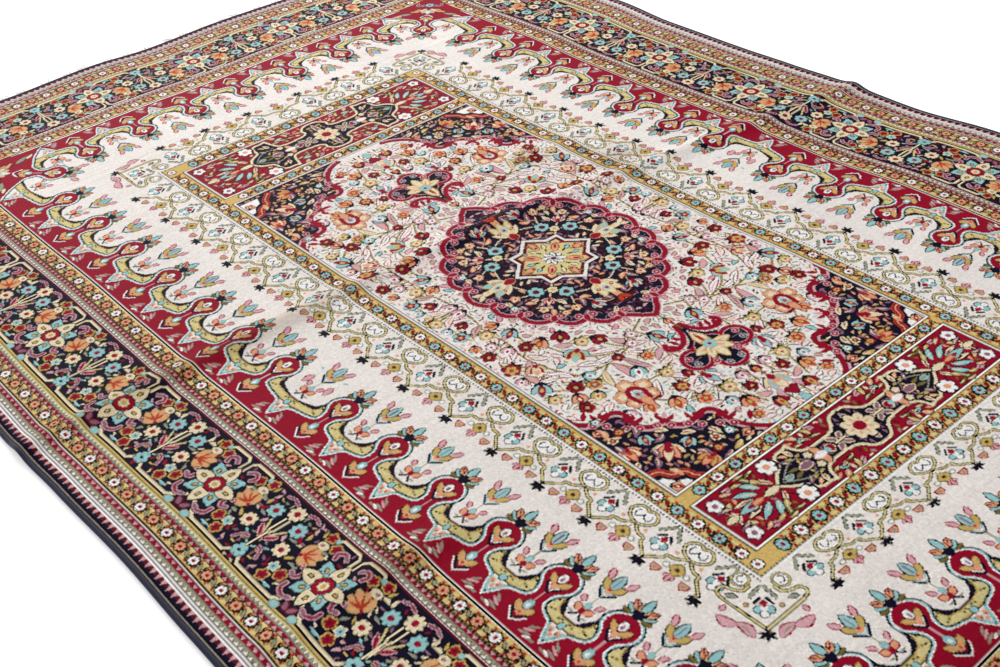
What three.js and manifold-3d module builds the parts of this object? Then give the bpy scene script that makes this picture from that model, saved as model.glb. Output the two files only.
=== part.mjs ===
// A hand-knotted persian rug lying on the floor, in millimetres.
// X runs across the rug, Y along it and Z up from the floor. The origin is under the middle of the rug.

import * as THREE from 'three';
import { mergeVertices } from 'three/addons/utils/BufferGeometryUtils.js';
import Module from 'manifold-3d';

const wasm = await Module();
wasm.setup();

// Driving dimensions
const CARPET_WIDTH = 998;
const CARPET_LENGTH = 1464;
const CARPET_THICKNESS = 5;
const PIECE_GAP = 0.3;
const SELVEDGE_WIDTH = 4.6;
const SELVEDGE_CHAMFER = 1.4;
const WEB_DEPTH = 5;
const WEB_THICKNESS = 1.5;
const TUFTS_PER_END = 34;
const STRANDS_PER_TUFT = 3;
const STRAND_PITCH = 2.6;
const STRAND_LENGTH = 17;
const STRAND_WIDTH = 1.5;
const STRAND_HEIGHT = 1.1;
const STRAND_ROOT = 2.6;
const STRAND_TIP_SHARE = 0.5;
const STRAND_SHORTEST = 0.75;
const STRAND_SPREAD = 2.2;
const STRAND_CURL = 1.6;
const TUFT_STRAY = 4;
const TUFT_LEAN = 3;

// The cloth is laid out in columns across it and rows along it, with closer rows over the creases.
const COLUMNS = 16;
const ROW_BANDS = [
  { end: -300, rows: 8 },
  { end: -190, rows: 8 },
  { end: -50, rows: 5 },
  { end: 120, rows: 16 },
  { end: CARPET_LENGTH / 2, rows: 11 },
];

// Soft creases left by folding. Each runs along X from one end to the other, and its line may bend once.
const CREASES = [
  { fromX: -560, fromY: 72, bendX: -16, bendY: 62, toX: 560, toY: -25, height: 4.5, spread: 13 },
  { fromX: -520, fromY: -246, bendX: -350, bendY: -249, toX: -230, toY: -262, height: 3.5, spread: 15 },
  { fromX: 60, fromY: 150, bendX: 130, bendY: 137, toX: 240, toY: 120, height: 2.5, spread: 16 },
];
const CREASE_FADE = 70;
const FLAT_END_DEPTH = 60;
const LEAST_LIFT = 0.05;

// How far each side edge strays outwards from a straight line, at places along the rug.
const SIDE_EDGES = [
  { y: -732, left: 0, right: 0 },
  { y: -430, left: 8, right: 4 },
  { y: -200, left: 1, right: 8 },
  { y: -100, left: -1, right: -3 },
  { y: 5, left: 1, right: 1 },
  { y: 75, left: 3, right: -2 },
  { y: 150, left: 2, right: -4 },
  { y: 268, left: 0, right: -3 },
  { y: 370, left: 2, right: 6 },
  { y: 560, left: 1, right: 1 },
  { y: 732, left: 0, right: 0 },
];

// How far each end strays outwards from a straight line, at places across the rug.
const END_EDGES = [
  { x: -499, far: 0, near: 0 },
  { x: -230, far: -5, near: 2 },
  { x: -95, far: 4, near: -2 },
  { x: -25, far: -3, near: 1 },
  { x: 100, far: 5, near: 5 },
  { x: 300, far: 0, near: -3 },
  { x: 499, far: 0, near: 0 },
];

// A smooth value between the rows of a table, by the column named place.
function between(table, place, column, at) {
  const last = table.length - 1;
  if (at <= table[0][place]) return table[0][column];
  if (at >= table[last][place]) return table[last][column];
  const next = table.findIndex((row) => row[place] >= at);
  const a = table[next - 1];
  const b = table[next];
  const share = (at - a[place]) / (b[place] - a[place]);
  return THREE.MathUtils.lerp(a[column], b[column], THREE.MathUtils.smoothstep(share, 0, 1));
}

// The Y of a crease's line at x, bending once on its way.
function creaseLine(crease, x) {
  const { fromX, fromY, bendX, bendY, toX, toY } = crease;
  if (x < bendX) return THREE.MathUtils.mapLinear(x, fromX, bendX, fromY, bendY);
  return THREE.MathUtils.mapLinear(x, bendX, toX, bendY, toY);
}

// How high the cloth lifts off the floor. The ends stay flat, so that the fringe lies level.
function lift(x, y) {
  const fromEnd = CARPET_LENGTH / 2 - Math.abs(y);
  const hold = THREE.MathUtils.smoothstep(fromEnd, 0, FLAT_END_DEPTH);
  let height = 0;
  for (const crease of CREASES) {
    const away = (y - creaseLine(crease, x)) / crease.spread;
    const along = Math.min(x - crease.fromX, crease.toX - x);
    height += crease.height * THREE.MathUtils.smoothstep(along, 0, CREASE_FADE) * Math.exp(-away * away);
  }
  return height < LEAST_LIFT ? 0 : height * hold;
}

// Lays every point of a geometry, given on a flat straight rug, where it really lies.
function lay(geometry) {
  const position = geometry.attributes.position;
  for (let i = 0; i < position.count; i += 1) {
    const x = position.getX(i);
    const y = position.getY(i);
    const side = between(SIDE_EDGES, 'y', x < 0 ? 'left' : 'right', y);
    const end = between(END_EDGES, 'x', y < 0 ? 'near' : 'far', x);
    const laidX = x + (side * x) / (CARPET_WIDTH / 2);
    const laidY = y + end * Math.sign(y) * Math.pow(Math.abs(y) / (CARPET_LENGTH / 2), 4);
    position.setXYZ(i, laidX, laidY, position.getZ(i) + lift(x, y));
  }
  return geometry;
}

// Moves evenly spaced rows to the rows of ROW_BANDS, which are closer over the creases.
const ROWS = ROW_BANDS.reduce((sum, band) => sum + band.rows, 0);
function spaceRows(geometry) {
  const rowY = [-CARPET_LENGTH / 2];
  for (const { end, rows } of ROW_BANDS) {
    const start = rowY.at(-1);
    for (let row = 1; row <= rows; row += 1) rowY.push(THREE.MathUtils.lerp(start, end, row / rows));
  }
  const position = geometry.attributes.position;
  for (let i = 0; i < position.count; i += 1) {
    const row = Math.round((position.getY(i) / CARPET_LENGTH + 0.5) * ROWS);
    position.setY(i, rowY[row]);
  }
  return geometry;
}

// The pile carpet: one sheet of foundation and pile.
function carpetGeometry() {
  const sheet = new THREE.BoxGeometry(CARPET_WIDTH, CARPET_LENGTH, CARPET_THICKNESS, COLUMNS, ROWS, 1);
  sheet.translate(0, 0, CARPET_THICKNESS / 2);
  return lay(spaceRows(sheet));
}

// A selvedge: the cord that the side's outer warps make once they are overcast with navy yarn.
function selvedgeGeometry(side) {
  const halfWidth = SELVEDGE_WIDTH / 2;
  const halfHeight = CARPET_THICKNESS / 2;
  const chamfer = SELVEDGE_CHAMFER;
  const section = new THREE.Shape([
    new THREE.Vector2(halfWidth - chamfer, -halfHeight),
    new THREE.Vector2(halfWidth, chamfer - halfHeight),
    new THREE.Vector2(halfWidth, halfHeight - chamfer),
    new THREE.Vector2(halfWidth - chamfer, halfHeight),
    new THREE.Vector2(chamfer - halfWidth, halfHeight),
    new THREE.Vector2(-halfWidth, halfHeight - chamfer),
    new THREE.Vector2(-halfWidth, chamfer - halfHeight),
    new THREE.Vector2(chamfer - halfWidth, -halfHeight),
  ]);
  const cord = new THREE.ExtrudeGeometry(section, { depth: CARPET_LENGTH, steps: ROWS, bevelEnabled: false });
  cord.rotateX(Math.PI / 2);
  const centreX = side * (CARPET_WIDTH / 2 + PIECE_GAP + halfWidth);
  cord.translate(centreX, CARPET_LENGTH / 2, halfHeight);
  return lay(spaceRows(cord));
}

// The web: the narrow flat-woven strip at an end, which the fringe grows from.
function webGeometry(end) {
  const web = new THREE.BoxGeometry(CARPET_WIDTH, WEB_DEPTH, WEB_THICKNESS, COLUMNS, 1, 1);
  const centreY = end * (CARPET_LENGTH / 2 + PIECE_GAP + WEB_DEPTH / 2);
  web.translate(0, centreY, WEB_THICKNESS / 2);
  return lay(web);
}

// One strand of warp: three sides, a flat underside on the floor, thinner to its tip, leaning and curling.
// It starts as an upright prism round the unit circle, so a side is √3 wide and the ridge 1.5 above it.
function strandGeometry(end, rootX, length, lean, curl) {
  const strand = new THREE.CylinderGeometry(1, 1, 1, 3, 2);
  const position = strand.attributes.position;
  const rootY = CARPET_LENGTH / 2 + PIECE_GAP + WEB_DEPTH - STRAND_ROOT;
  for (let i = 0; i < position.count; i += 1) {
    const along = position.getY(i) + 0.5;
    const taper = THREE.MathUtils.lerp(1, STRAND_TIP_SHARE, along);
    const across = (position.getX(i) / Math.sqrt(3)) * STRAND_WIDTH * taper;
    const height = ((position.getZ(i) + 0.5) / 1.5) * STRAND_HEIGHT * taper;
    const x = rootX + lean * along + curl * along * along + across;
    position.setXYZ(i, end < 0 ? -x : x, end * (rootY + length * along), height);
  }
  return lay(strand);
}

// A closed geometry as a solid that can be joined to another.
function toSolid(geometry) {
  const bare = geometry.clone();
  bare.deleteAttribute('normal');
  bare.deleteAttribute('uv');
  const merged = mergeVertices(bare, 1e-4);
  const mesh = new wasm.Mesh({
    numProp: 3,
    vertProperties: new Float32Array(merged.attributes.position.array),
    triVerts: new Uint32Array(merged.index.array),
  });
  return new wasm.Manifold(mesh);
}

function toGeometry(solid) {
  const { vertProperties, triVerts } = solid.getMesh();
  const geometry = new THREE.BufferGeometry();
  geometry.setAttribute('position', new THREE.BufferAttribute(vertProperties, 3));
  geometry.setIndex(new THREE.BufferAttribute(triVerts, 1));
  geometry.computeVertexNormals();
  return geometry;
}

// An end's web with its tufts, each of a few strands that spread from roots a little apart.
function fringeGeometry(end) {
  let solid = toSolid(webGeometry(end));
  const tuftPitch = CARPET_WIDTH / TUFTS_PER_END;
  for (let tuft = 0; tuft < TUFTS_PER_END; tuft += 1) {
    const tuftX = -CARPET_WIDTH / 2 + (tuft + 0.5) * tuftPitch + TUFT_STRAY * Math.sin(2.3 * tuft);
    const tuftLean = TUFT_LEAN * Math.sin(1.7 * tuft + end);
    for (let strand = 0; strand < STRANDS_PER_TUFT; strand += 1) {
      const place = strand - (STRANDS_PER_TUFT - 1) / 2;
      const rootX = tuftX + place * STRAND_PITCH;
      const share = Math.abs(Math.sin(2.9 * tuft + 2.1 * strand));
      const length = STRAND_LENGTH * THREE.MathUtils.lerp(STRAND_SHORTEST, 1, share);
      const lean = tuftLean + STRAND_SPREAD * place;
      solid = solid.add(toSolid(strandGeometry(end, rootX, length, lean, STRAND_CURL * place)));
    }
  }
  return toGeometry(solid);
}

const rug = new THREE.Group();

function addPiece(name, geometry, color, roughness) {
  const material = new THREE.MeshStandardMaterial({ color, roughness, metalness: 0 });
  const mesh = new THREE.Mesh(geometry, material);
  mesh.name = name;
  rug.add(mesh);
}

addPiece('pile_carpet', carpetGeometry(), '#a8786f', 0.8);
addPiece('selvedge_left', selvedgeGeometry(-1), '#1d1b3a', 0.8);
addPiece('selvedge_right', selvedgeGeometry(1), '#1d1b3a', 0.8);
addPiece('fringe_far', fringeGeometry(1), '#cfcbc6', 0.9);
addPiece('fringe_near', fringeGeometry(-1), '#cfcbc6', 0.9);

export default rug;
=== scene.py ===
"""A small fine Persian rug that lies flat: silky knotted pile with its whole woven pattern, overcast
side cords and short frayed fringes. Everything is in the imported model's own frame, in metres there and
in millimetres in this file's named sizes."""

import math
import random

import bpy
import numpy as np
from mathutils import Matrix, Vector


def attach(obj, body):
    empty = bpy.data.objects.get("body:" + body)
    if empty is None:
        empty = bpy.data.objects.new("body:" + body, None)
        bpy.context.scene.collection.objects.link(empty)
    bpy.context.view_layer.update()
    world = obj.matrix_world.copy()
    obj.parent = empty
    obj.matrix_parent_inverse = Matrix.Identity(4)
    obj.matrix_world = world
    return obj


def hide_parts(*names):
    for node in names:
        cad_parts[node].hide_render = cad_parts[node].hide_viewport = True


MM = 0.001
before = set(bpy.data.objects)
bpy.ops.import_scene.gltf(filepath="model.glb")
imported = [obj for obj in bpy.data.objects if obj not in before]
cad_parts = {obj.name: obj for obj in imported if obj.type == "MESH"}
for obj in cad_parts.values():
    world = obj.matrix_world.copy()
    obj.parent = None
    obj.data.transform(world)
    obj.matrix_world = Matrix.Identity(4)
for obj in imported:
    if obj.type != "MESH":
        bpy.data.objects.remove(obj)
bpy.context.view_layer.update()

# Sizes of the rug, the same as its solids have
CARPET_WIDTH = 998.0
CARPET_LENGTH = 1464.0
CARPET_THICKNESS = 5.0
PIECE_GAP = 0.3
SELVEDGE_WIDTH = 4.6
WEB_DEPTH = 5.0
WEB_THICKNESS = 1.5
TUFTS_PER_END = 34
STRANDS_PER_TUFT = 3
STRAND_PITCH = 2.6
STRAND_LENGTH = 17.0
STRAND_SHORTEST = 0.75
STRAND_SPREAD = 2.2
STRAND_CURL = 1.6
TUFT_STRAY = 4.0
TUFT_LEAN = 3.0
FLAT_END_DEPTH = 60.0
LEAST_LIFT = 0.05
CREASE_FADE = 70.0
CREASES = [
    {"from": (-560, 72), "bend": (-16, 62), "to": (560, -25), "height": 4.5, "spread": 13},
    {"from": (-520, -246), "bend": (-350, -249), "to": (-230, -262), "height": 3.5, "spread": 15},
    {"from": (60, 150), "bend": (130, 137), "to": (240, 120), "height": 2.5, "spread": 16},
]
SIDE_EDGES = [  # y, then how far the left and right edges stray from straight
    (-732, 0, 0), (-430, 8, 4), (-200, 1, 8), (-100, -1, -3), (5, 1, 1), (75, 3, -2), (150, 2, -4),
    (268, 0, -3), (370, 2, 6), (560, 1, 1), (732, 0, 0),
]
END_EDGES = [  # x, then how far the far and near edges stray from straight
    (-499, 0, 0), (-230, -5, 2), (-95, 4, -2), (-25, -3, 1), (100, 5, 5), (300, 0, -3), (499, 0, 0),
]

# How fine the pile is made
KNOTS_ACROSS = 550
KNOTS_ALONG = 806
PILE_STRIPS = 5
KNOT_ROUGHNESS = 0.09
KNOT_SHADE = 0.05
ROW_SHADE = 0.02
EDGE_ROUNDING = [1.6, 0.45]
UNFOLDED_LENGTHS = 3
UNFOLDED_MARGIN = 0.01
FOUNDATION_TOP = 4.3
FOUNDATION_COLUMN = 20.0
FOUNDATION_ROWS = [(-300, 24), (-200, 6), (-60, 20), (160, 6)]  # up to which y, and how far apart


def smoothstep(value, low, high):
    share = np.clip((value - low) / (high - low), 0.0, 1.0)
    return share * share * (3.0 - 2.0 * share)


def between(rows, column, at):
    """A value of a table at a place between its rows, eased from row to row."""
    at = np.asarray(at, float)
    value = np.full(at.shape, float(rows[0][column]))
    for low, high in zip(rows, rows[1:]):
        value = value + (high[column] - low[column]) * smoothstep(at, low[0], high[0])
    return value


def lift(x, y):
    """How high the creases raise the cloth off the floor."""
    total = np.zeros(np.broadcast(x, y).shape)
    for crease in CREASES:
        (from_x, from_y), (bend_x, bend_y), (to_x, to_y) = crease["from"], crease["bend"], crease["to"]
        line_y = np.interp(x, (from_x, bend_x, to_x), (from_y, bend_y, to_y))
        fade = smoothstep(np.minimum(x - from_x, to_x - x), 0.0, CREASE_FADE)
        total = total + crease["height"] * fade * np.exp(-(((y - line_y) / crease["spread"]) ** 2))
    hold = smoothstep(CARPET_LENGTH / 2 - np.abs(y), 0.0, FLAT_END_DEPTH)
    return np.where(total < LEAST_LIFT, 0.0, total * hold)


def lay(points):
    """Points of the straight flat rug, put where the rug really lies; millimetres in, metres out."""
    x, y, z = np.asarray(points, float).T
    side = np.where(x < 0, between(SIDE_EDGES, 1, y), between(SIDE_EDGES, 2, y))
    end = np.where(y > 0, between(END_EDGES, 1, x), between(END_EDGES, 2, x))
    laid_x = x + side * x / (CARPET_WIDTH / 2)
    laid_y = y + end * np.sign(y) * (np.abs(y) / (CARPET_LENGTH / 2)) ** 4
    return np.stack((laid_x, laid_y, z + lift(x, y)), axis=1) * MM


# Places where the pile is painted darker: painted brown shade along the creases and in small dark patches
# where the pile's lie changes, and faint stains; tone is what full depth multiplies the colour by
CREASE_SHADE_AND_STAINS = [
    {"x": -320, "y": 70, "long": 170, "wide": 13, "turn": -0.02, "tone": (0.62, 0.52, 0.42), "depth": 0.75},
    {"x": 190, "y": 62, "long": 26, "wide": 24, "turn": 0.3, "tone": (0.62, 0.52, 0.40), "depth": 0.6},
    {"x": 117, "y": 136, "long": 20, "wide": 12, "turn": 0.5, "tone": (0.60, 0.48, 0.36), "depth": 0.6},
    {"x": -350, "y": -250, "long": 40, "wide": 16, "turn": -0.1, "tone": (0.60, 0.50, 0.40), "depth": 0.7},
    {"x": 440, "y": 118, "long": 26, "wide": 16, "turn": 0.2, "tone": (0.62, 0.56, 0.50), "depth": 0.5},
    {"x": 480, "y": -60, "long": 14, "wide": 30, "turn": 0.0, "tone": (0.66, 0.58, 0.50), "depth": 0.5},
    {"x": -135, "y": -600, "long": 120, "wide": 40, "turn": 0.0, "tone": (0.62, 0.54, 0.50), "depth": 0.6},
]


# Knot chart: half knots across and along, each with one yarn
HALF_KNOTS_ACROSS = 2 * KNOTS_ACROSS
HALF_KNOTS_ALONG = 2 * KNOTS_ALONG
CHART_X = CARPET_WIDTH * ((np.arange(HALF_KNOTS_ACROSS) + 0.5) / HALF_KNOTS_ACROSS - 0.5)
CHART_Y = CARPET_LENGTH * ((np.arange(HALF_KNOTS_ALONG) + 0.5) / HALF_KNOTS_ALONG - 0.5)
CHART = np.zeros((HALF_KNOTS_ALONG, HALF_KNOTS_ACROSS), np.uint8)

# Yarn colours, as they look in even light
YARNS = {
    "ivory": (0.945, 0.915, 0.890),
    "white": (0.980, 0.965, 0.955),
    "cream": (0.930, 0.860, 0.720),
    "straw": (0.860, 0.800, 0.560),
    "gold": (0.800, 0.680, 0.390),
    "amber": (0.850, 0.720, 0.430),
    "olive": (0.470, 0.410, 0.190),
    "sage": (0.600, 0.610, 0.530),
    "light_blue": (0.600, 0.790, 0.800),
    "navy": (0.060, 0.045, 0.140),
    "black": (0.030, 0.020, 0.035),
    "crimson": (0.590, 0.030, 0.155),
    "dark_red": (0.370, 0.040, 0.090),
    "orange": (0.720, 0.250, 0.130),
    "peach": (0.900, 0.640, 0.490),
    "pink": (0.860, 0.660, 0.690),
    "mauve": (0.560, 0.390, 0.470),
    "brown": (0.270, 0.170, 0.110),
}
INK = {name: number for number, name in enumerate(YARNS)}

# Edges of the bands, out from the middle: on the long sides, at the far end and at the near end
BAND_EDGES = [
    (166, 390, 421), (179, 407, 437), (184, 411, 441), (205, 432, 456), (236, 467, 484),
    (250, 482, 499), (271, 504, 520), (336, 570, 582), (342.5, 577, 588), (357, 592, 600),
    (371, 605, 612), (447, 682, 684), (460, 692, 694), (473, 706, 707), (499, 727, 727),
    (504, 732, 732),
]
SIDE_EDGES_OUT, FAR_EDGES_OUT, NEAR_EDGES_OUT = zip(*BAND_EDGES)
FIELD = {"half_width": 160, "far": 285, "near": -339}
FAR_PANEL = (306, 387)
NEAR_PANEL = (-417, -359)
FRAME_PITCH = 20.7
MEDALLION_Y = -33


def end_place(out, far):
    """How far from the middle an edge of a band lies at the far or near end."""
    return float(np.interp(out, SIDE_EDGES_OUT, FAR_EDGES_OUT if far else NEAR_EDGES_OUT))


def band_grid():
    """For each half knot, how far out it lies in the bands, and how far along its side."""
    far = np.interp(CHART_Y, FAR_EDGES_OUT, SIDE_EDGES_OUT, left=0)
    near = np.interp(-CHART_Y, NEAR_EDGES_OUT, SIDE_EDGES_OUT, left=0)
    from_ends = np.maximum(far, near)[:, None] + 0 * CHART_X[None, :]
    from_sides = np.abs(CHART_X)[None, :] + 0 * CHART_Y[:, None]
    on_side = from_sides >= from_ends
    along = np.where(on_side, CHART_Y[:, None], CHART_X[None, :])
    return np.where(on_side, from_sides, from_ends), along


OUT, ALONG = band_grid()


class Frame:
    """Where a motif lies on the rug: its middle, and the way that its u (across) and v (up) run."""

    def __init__(self, x, y, across=(1, 0), up=(0, 1)):
        self.middle = np.array((x, y), float)
        self.axes = np.array((across, up), float)

    def at(self, points):
        return np.asarray(points, float) @ self.axes + self.middle

    def move(self, u, v, turn=0, size=1, flip=1):
        """The frame of a smaller motif in this one."""
        cos, sin = math.cos(turn), math.sin(turn)
        turned = np.array(((cos * flip, sin * flip), (-sin, cos))) * size
        return Frame(*self.at((u, v)), *(turned @ self.axes))

    def window(self, low, high):
        """The half knots around a box of the frame, with their u and v."""
        corners = self.at([(u, v) for u in (low[0], high[0]) for v in (low[1], high[1])])
        first, last = corners.min(axis=0), corners.max(axis=0)
        left, right = np.searchsorted(CHART_X, (first[0], last[0]))
        below, above = np.searchsorted(CHART_Y, (first[1], last[1]))
        x = CHART_X[left:right][None, :] - self.middle[0]
        y = CHART_Y[below:above][:, None] - self.middle[1]
        back = np.linalg.inv(self.axes)
        return (x * back[0, 0] + y * back[1, 0], x * back[0, 1] + y * back[1, 1],
                CHART[below:above, left:right])


def oval(frame, u, v, long, wide, yarn, turn=0):
    """A filled oval with half axes long (along turn) and wide."""
    reach = max(long, wide)
    du, dv, knots = frame.window((u - reach, v - reach), (u + reach, v + reach))
    cos, sin = math.cos(turn), math.sin(turn)
    du, dv = du - u, dv - v
    knots[((du * cos + dv * sin) / long) ** 2 + ((dv * cos - du * sin) / wide) ** 2 < 1] = INK[yarn]


def petals(frame, count, inner, outer, yarn, turn=0, u=0, v=0):
    """A ring of rounded petals, filled to the middle."""
    du, dv, knots = frame.window((u - outer, v - outer), (u + outer, v + outer))
    du, dv = du - u, dv - v
    wave = np.abs(np.cos(count / 2 * (np.arctan2(dv, du) - turn))) ** 0.6
    knots[np.hypot(du, dv) < inner + (outer - inner) * wave] = INK[yarn]


def curve(points, steps=6):
    """A smooth line through the points."""
    points = np.asarray(points, float)
    ends = np.vstack((2 * points[0] - points[1], points, 2 * points[-1] - points[-2]))
    made = []
    for a, b, c, d in zip(ends, ends[1:], ends[2:], ends[3:]):
        for t in np.arange(steps) / steps:
            made.append(0.5 * (2 * b + (c - a) * t + (2 * a - 5 * b + 4 * c - d) * t * t
                               + (3 * b - a - 3 * c + d) * t ** 3))
    return np.array(made + [points[-1]])


def line(frame, points, width, yarn, smooth=True, dots=0):
    """A drawn line; dots is the length of its dashes, where it is broken."""
    points = curve(points) if smooth else np.asarray(points, float)
    half = width / 2
    u, v, knots = frame.window(points.min(axis=0) - half, points.max(axis=0) + half)
    inside = np.zeros(knots.shape, bool)
    run = 0
    for (u0, v0), (u1, v1) in zip(points, points[1:]):
        length = math.hypot(u1 - u0, v1 - v0)
        if length == 0:
            continue
        share = np.clip(((u - u0) * (u1 - u0) + (v - v0) * (v1 - v0)) / length ** 2, 0, 1)
        near = (u - u0 - share * (u1 - u0)) ** 2 + (v - v0 - share * (v1 - v0)) ** 2 < half * half
        if dots:
            near &= ((run + share * length) / dots).astype(int) % 2 == 0
        inside |= near
        run += length
    knots[inside] = INK[yarn]


def swash(frame, points, widths, yarn, grow=0):
    """A curved stroke that swells and thins, with a width at each of its points."""
    points = curve(np.column_stack((points, widths)), steps=20)
    for u, v, width in points:
        oval(frame, u, v, width / 2 + grow, width / 2 + grow, yarn)


def patch(frame, points, yarn, smooth=False):
    """A filled outline."""
    points = np.asarray(points, float)
    if smooth:
        points = curve(np.vstack((points, points[:1])))
    u, v, knots = frame.window(points.min(axis=0), points.max(axis=0))
    inside = np.zeros(knots.shape, bool)
    for (u0, v0), (u1, v1) in zip(points, np.roll(points, -1, axis=0)):
        if v0 != v1:
            inside ^= ((v0 > v) != (v1 > v)) & (u < (u1 - u0) * (v - v0) / (v1 - v0) + u0)
    knots[inside] = INK[yarn]


def leaf(frame, u, v, turn, length, width, yarn, edge=None, bend=0):
    """A pointed leaf from (u, v) along turn, with an edge line if one is named."""
    reach = length + 2
    du, dv, knots = frame.window((u - reach, v - reach), (u + reach, v + reach))
    du, dv = du - u, dv - v
    run = (du * math.cos(turn) + dv * math.sin(turn)) / length
    off = np.abs(dv * math.cos(turn) - du * math.sin(turn) - bend * np.sin(math.pi * np.clip(run, 0, 1)))
    if edge:
        wide = (width / 2 + 1.2) * np.sin(math.pi * np.clip(run * 0.94 + 0.04, 0, 1)) ** 0.7
        knots[(off < wide) & (run > -0.05) & (run < 1.08)] = INK[edge]
    wide = width / 2 * np.sin(math.pi * np.clip(run, 0, 1) ** 0.85) ** 0.8
    knots[(off < wide) & (run > 0) & (run < 1)] = INK[yarn]


def each(kind, frame, *rows):
    """The same kind of mark for each row of its values, in turn."""
    for row in rows:
        kind(frame, *row)


def halves(frame):
    """The frame's mirror image in u, then the frame itself."""
    return [frame.move(0, 0, flip=flip) for flip in (-1, 1)]


def ring(inner, outer, yarn):
    """A plain stripe round the rug."""
    CHART[(OUT >= inner) & (OUT < outer)] = INK[yarn]


def dotted_ring(inner, outer, yarns, pitch):
    """A stripe round the rug in two yarns by turns."""
    band = (OUT >= inner) & (OUT < outer)
    even = (np.floor(ALONG / pitch * 2) % 2 == 0)
    CHART[band & even] = INK[yarns[0]]
    CHART[band & ~even] = INK[yarns[1]]


def side_frame(side, along, out):
    """A frame on a long side: u runs along the side and v towards the middle."""
    return Frame(side * out, along, (0, 1), (-side, 0))


def end_frame(end, along, out, depth):
    """The same at an end, with v fitted to that end's own band widths."""
    edge = end_place(out, end > 0)
    stretch = (edge - end_place(out - depth, end > 0)) / depth
    return Frame(along, end * edge, (1, 0), (0, -end * stretch))


def corner_frame(side, end, out):
    """A frame at a corner of a band: v runs along the diagonal towards the middle."""
    half = math.sqrt(0.5)
    return Frame(side * out, end * end_place(out, end > 0), (half, -side * end * half),
                 (-side * half, -end * half))


def rosette(frame, u, v, radius, yarn, heart="crimson", edge="navy", count=8):
    """A small round flower with a dark edge and a coloured heart."""
    spot = frame.move(u, v)
    if edge:
        petals(spot, count, radius * 0.8 + 1.3, radius + 1.3, edge)
    petals(spot, count, radius * 0.72, radius, yarn)
    oval(spot, 0, 0, radius * 0.42, radius * 0.42, heart)


def trefoil(frame, u, v, turn, size, yarn, edge="cream"):
    """A three-lobed bud that points along turn."""
    spot = frame.move(u, v, turn)
    lobes = ((0.6 * size, 0), (-0.2 * size, 0.55 * size), (-0.2 * size, -0.55 * size))
    for lobe in lobes:
        oval(spot, *lobe, 0.56 * size + 1.2, 0.56 * size + 1.2, edge)
    for lobe in lobes:
        oval(spot, *lobe, 0.56 * size, 0.56 * size, yarn)


# Plain stripes
COMB_ROOT = 488.4
COMB_DEPTH = 6.8
COMB_PITCH = 8


def fine_lines(inner, parts):
    """Narrow stripes outwards: each a width and a yarn, and a second yarn where two take turns."""
    for width, *yarns in parts:
        dotted_ring(inner, inner + width, (yarns[0], yarns[-1]), 3.2)
        inner += width


def draw_stripes():
    """Every stripe that runs right round the rug, from the frame of the field outwards."""
    ring(165.5, 179.6, "amber")
    fine_lines(178.7, ((1, "brown", "gold"), (1, "black", "sage"), (2.1, "white"), (1.1, "black", "ivory")))
    fine_lines(333, ((1.4, "black", "dark_red"), (1.8, "white"), (1.4, "black"), (2, "white"),
                     (1.4, "black"), (1.4, "straw", "white"), (0.9, "black", "brown")))
    ring(342.4, 357.2, "amber")
    fine_lines(356, ((1.1, "black", "olive"), (1.1, "dark_red")))
    draw_beads(358, 4.4, "crimson", "pink", 6.4, True)
    draw_beads(362.4, 4.2, "sage", "ivory", 5.4, False)
    fine_lines(366.2, ((1.2, "black"), (1.4, "pink", "white"), (1.9, "dark_red")))
    ring(370.6, 447.6, "navy")
    fine_lines(446, ((1.9, "gold"), (1.2, "black", "olive"), (1.8, "straw")))
    draw_beads(450.6, 3.8, "sage", "ivory", 5.4, True)
    draw_beads(454.4, 4.2, "crimson", "pink", 8.2, False)
    fine_lines(458.4, ((1.1, "black", "olive"),))
    ring(459.4, 471.6, "amber")
    fine_lines(471.4, ((1, "brown", "olive"), (1.2, "black"), (1.3, "white"), (1, "dark_red")))
    draw_beads(475.7, 4.6, "crimson", "pink", 8.2, True)
    draw_beads(480.3, 4.3, "sage", "ivory", 6.4, False)
    fine_lines(484.4, ((1.2, "black"), (1.7, "white"), (1.3, "black", "dark_red")))
    draw_comb()


def draw_beads(inner, width, ground, bead, pitch, outward):
    """A stripe of leaning pale beads with a dark edge to each on its ground."""
    ring(inner, inner + width, ground)
    share = (OUT - inner) / width
    share = share if outward else 1 - share
    inside = (share >= 0.1) & (share < 0.94)
    beat = (ALONG / pitch) % 1
    reach = np.abs(beat * 2 - 1)
    dark = "dark_red" if ground == "crimson" else "olive"
    CHART[inside & (share < reach + 0.12)] = INK[dark]
    CHART[inside & (share < reach - 0.2)] = INK[bead]


def draw_comb():
    """Pale teeth with dark red wedges between them, on the dark outer edge."""
    ring(COMB_ROOT, 506, "navy")
    share = (OUT - COMB_ROOT) / COMB_DEPTH
    beat = np.abs((ALONG / COMB_PITCH) % 1 * 2 - 1)
    inside = (share >= 0) & (share < 1)
    CHART[inside & (share < 0.8)] = INK["dark_red"]
    CHART[inside & (beat > 0.25 + 0.7 * share)] = INK["pink"]
    CHART[inside & (share < 0.2)] = INK["white"]


def daisy(frame, u, v, radius, yarn, heart="crimson", edge="black", count=8):
    """A small round flower of separate petals on a dark edge."""
    petals(frame, count, radius + 0.3, radius + 1.2, edge, u=u, v=v)
    size = radius * math.pi / count * 0.7
    for number in range(count):
        turn = number * 2 * math.pi / count
        away = radius - size
        place = (u + away * math.cos(turn), v + away * math.sin(turn))
        oval(frame, *place, size * 1.15, size, yarn, turn=turn)
    each(oval, frame, (u, v, radius * 0.58, radius * 0.58, yarn),
         (u, v, radius * 0.38, radius * 0.38, heart))


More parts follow.
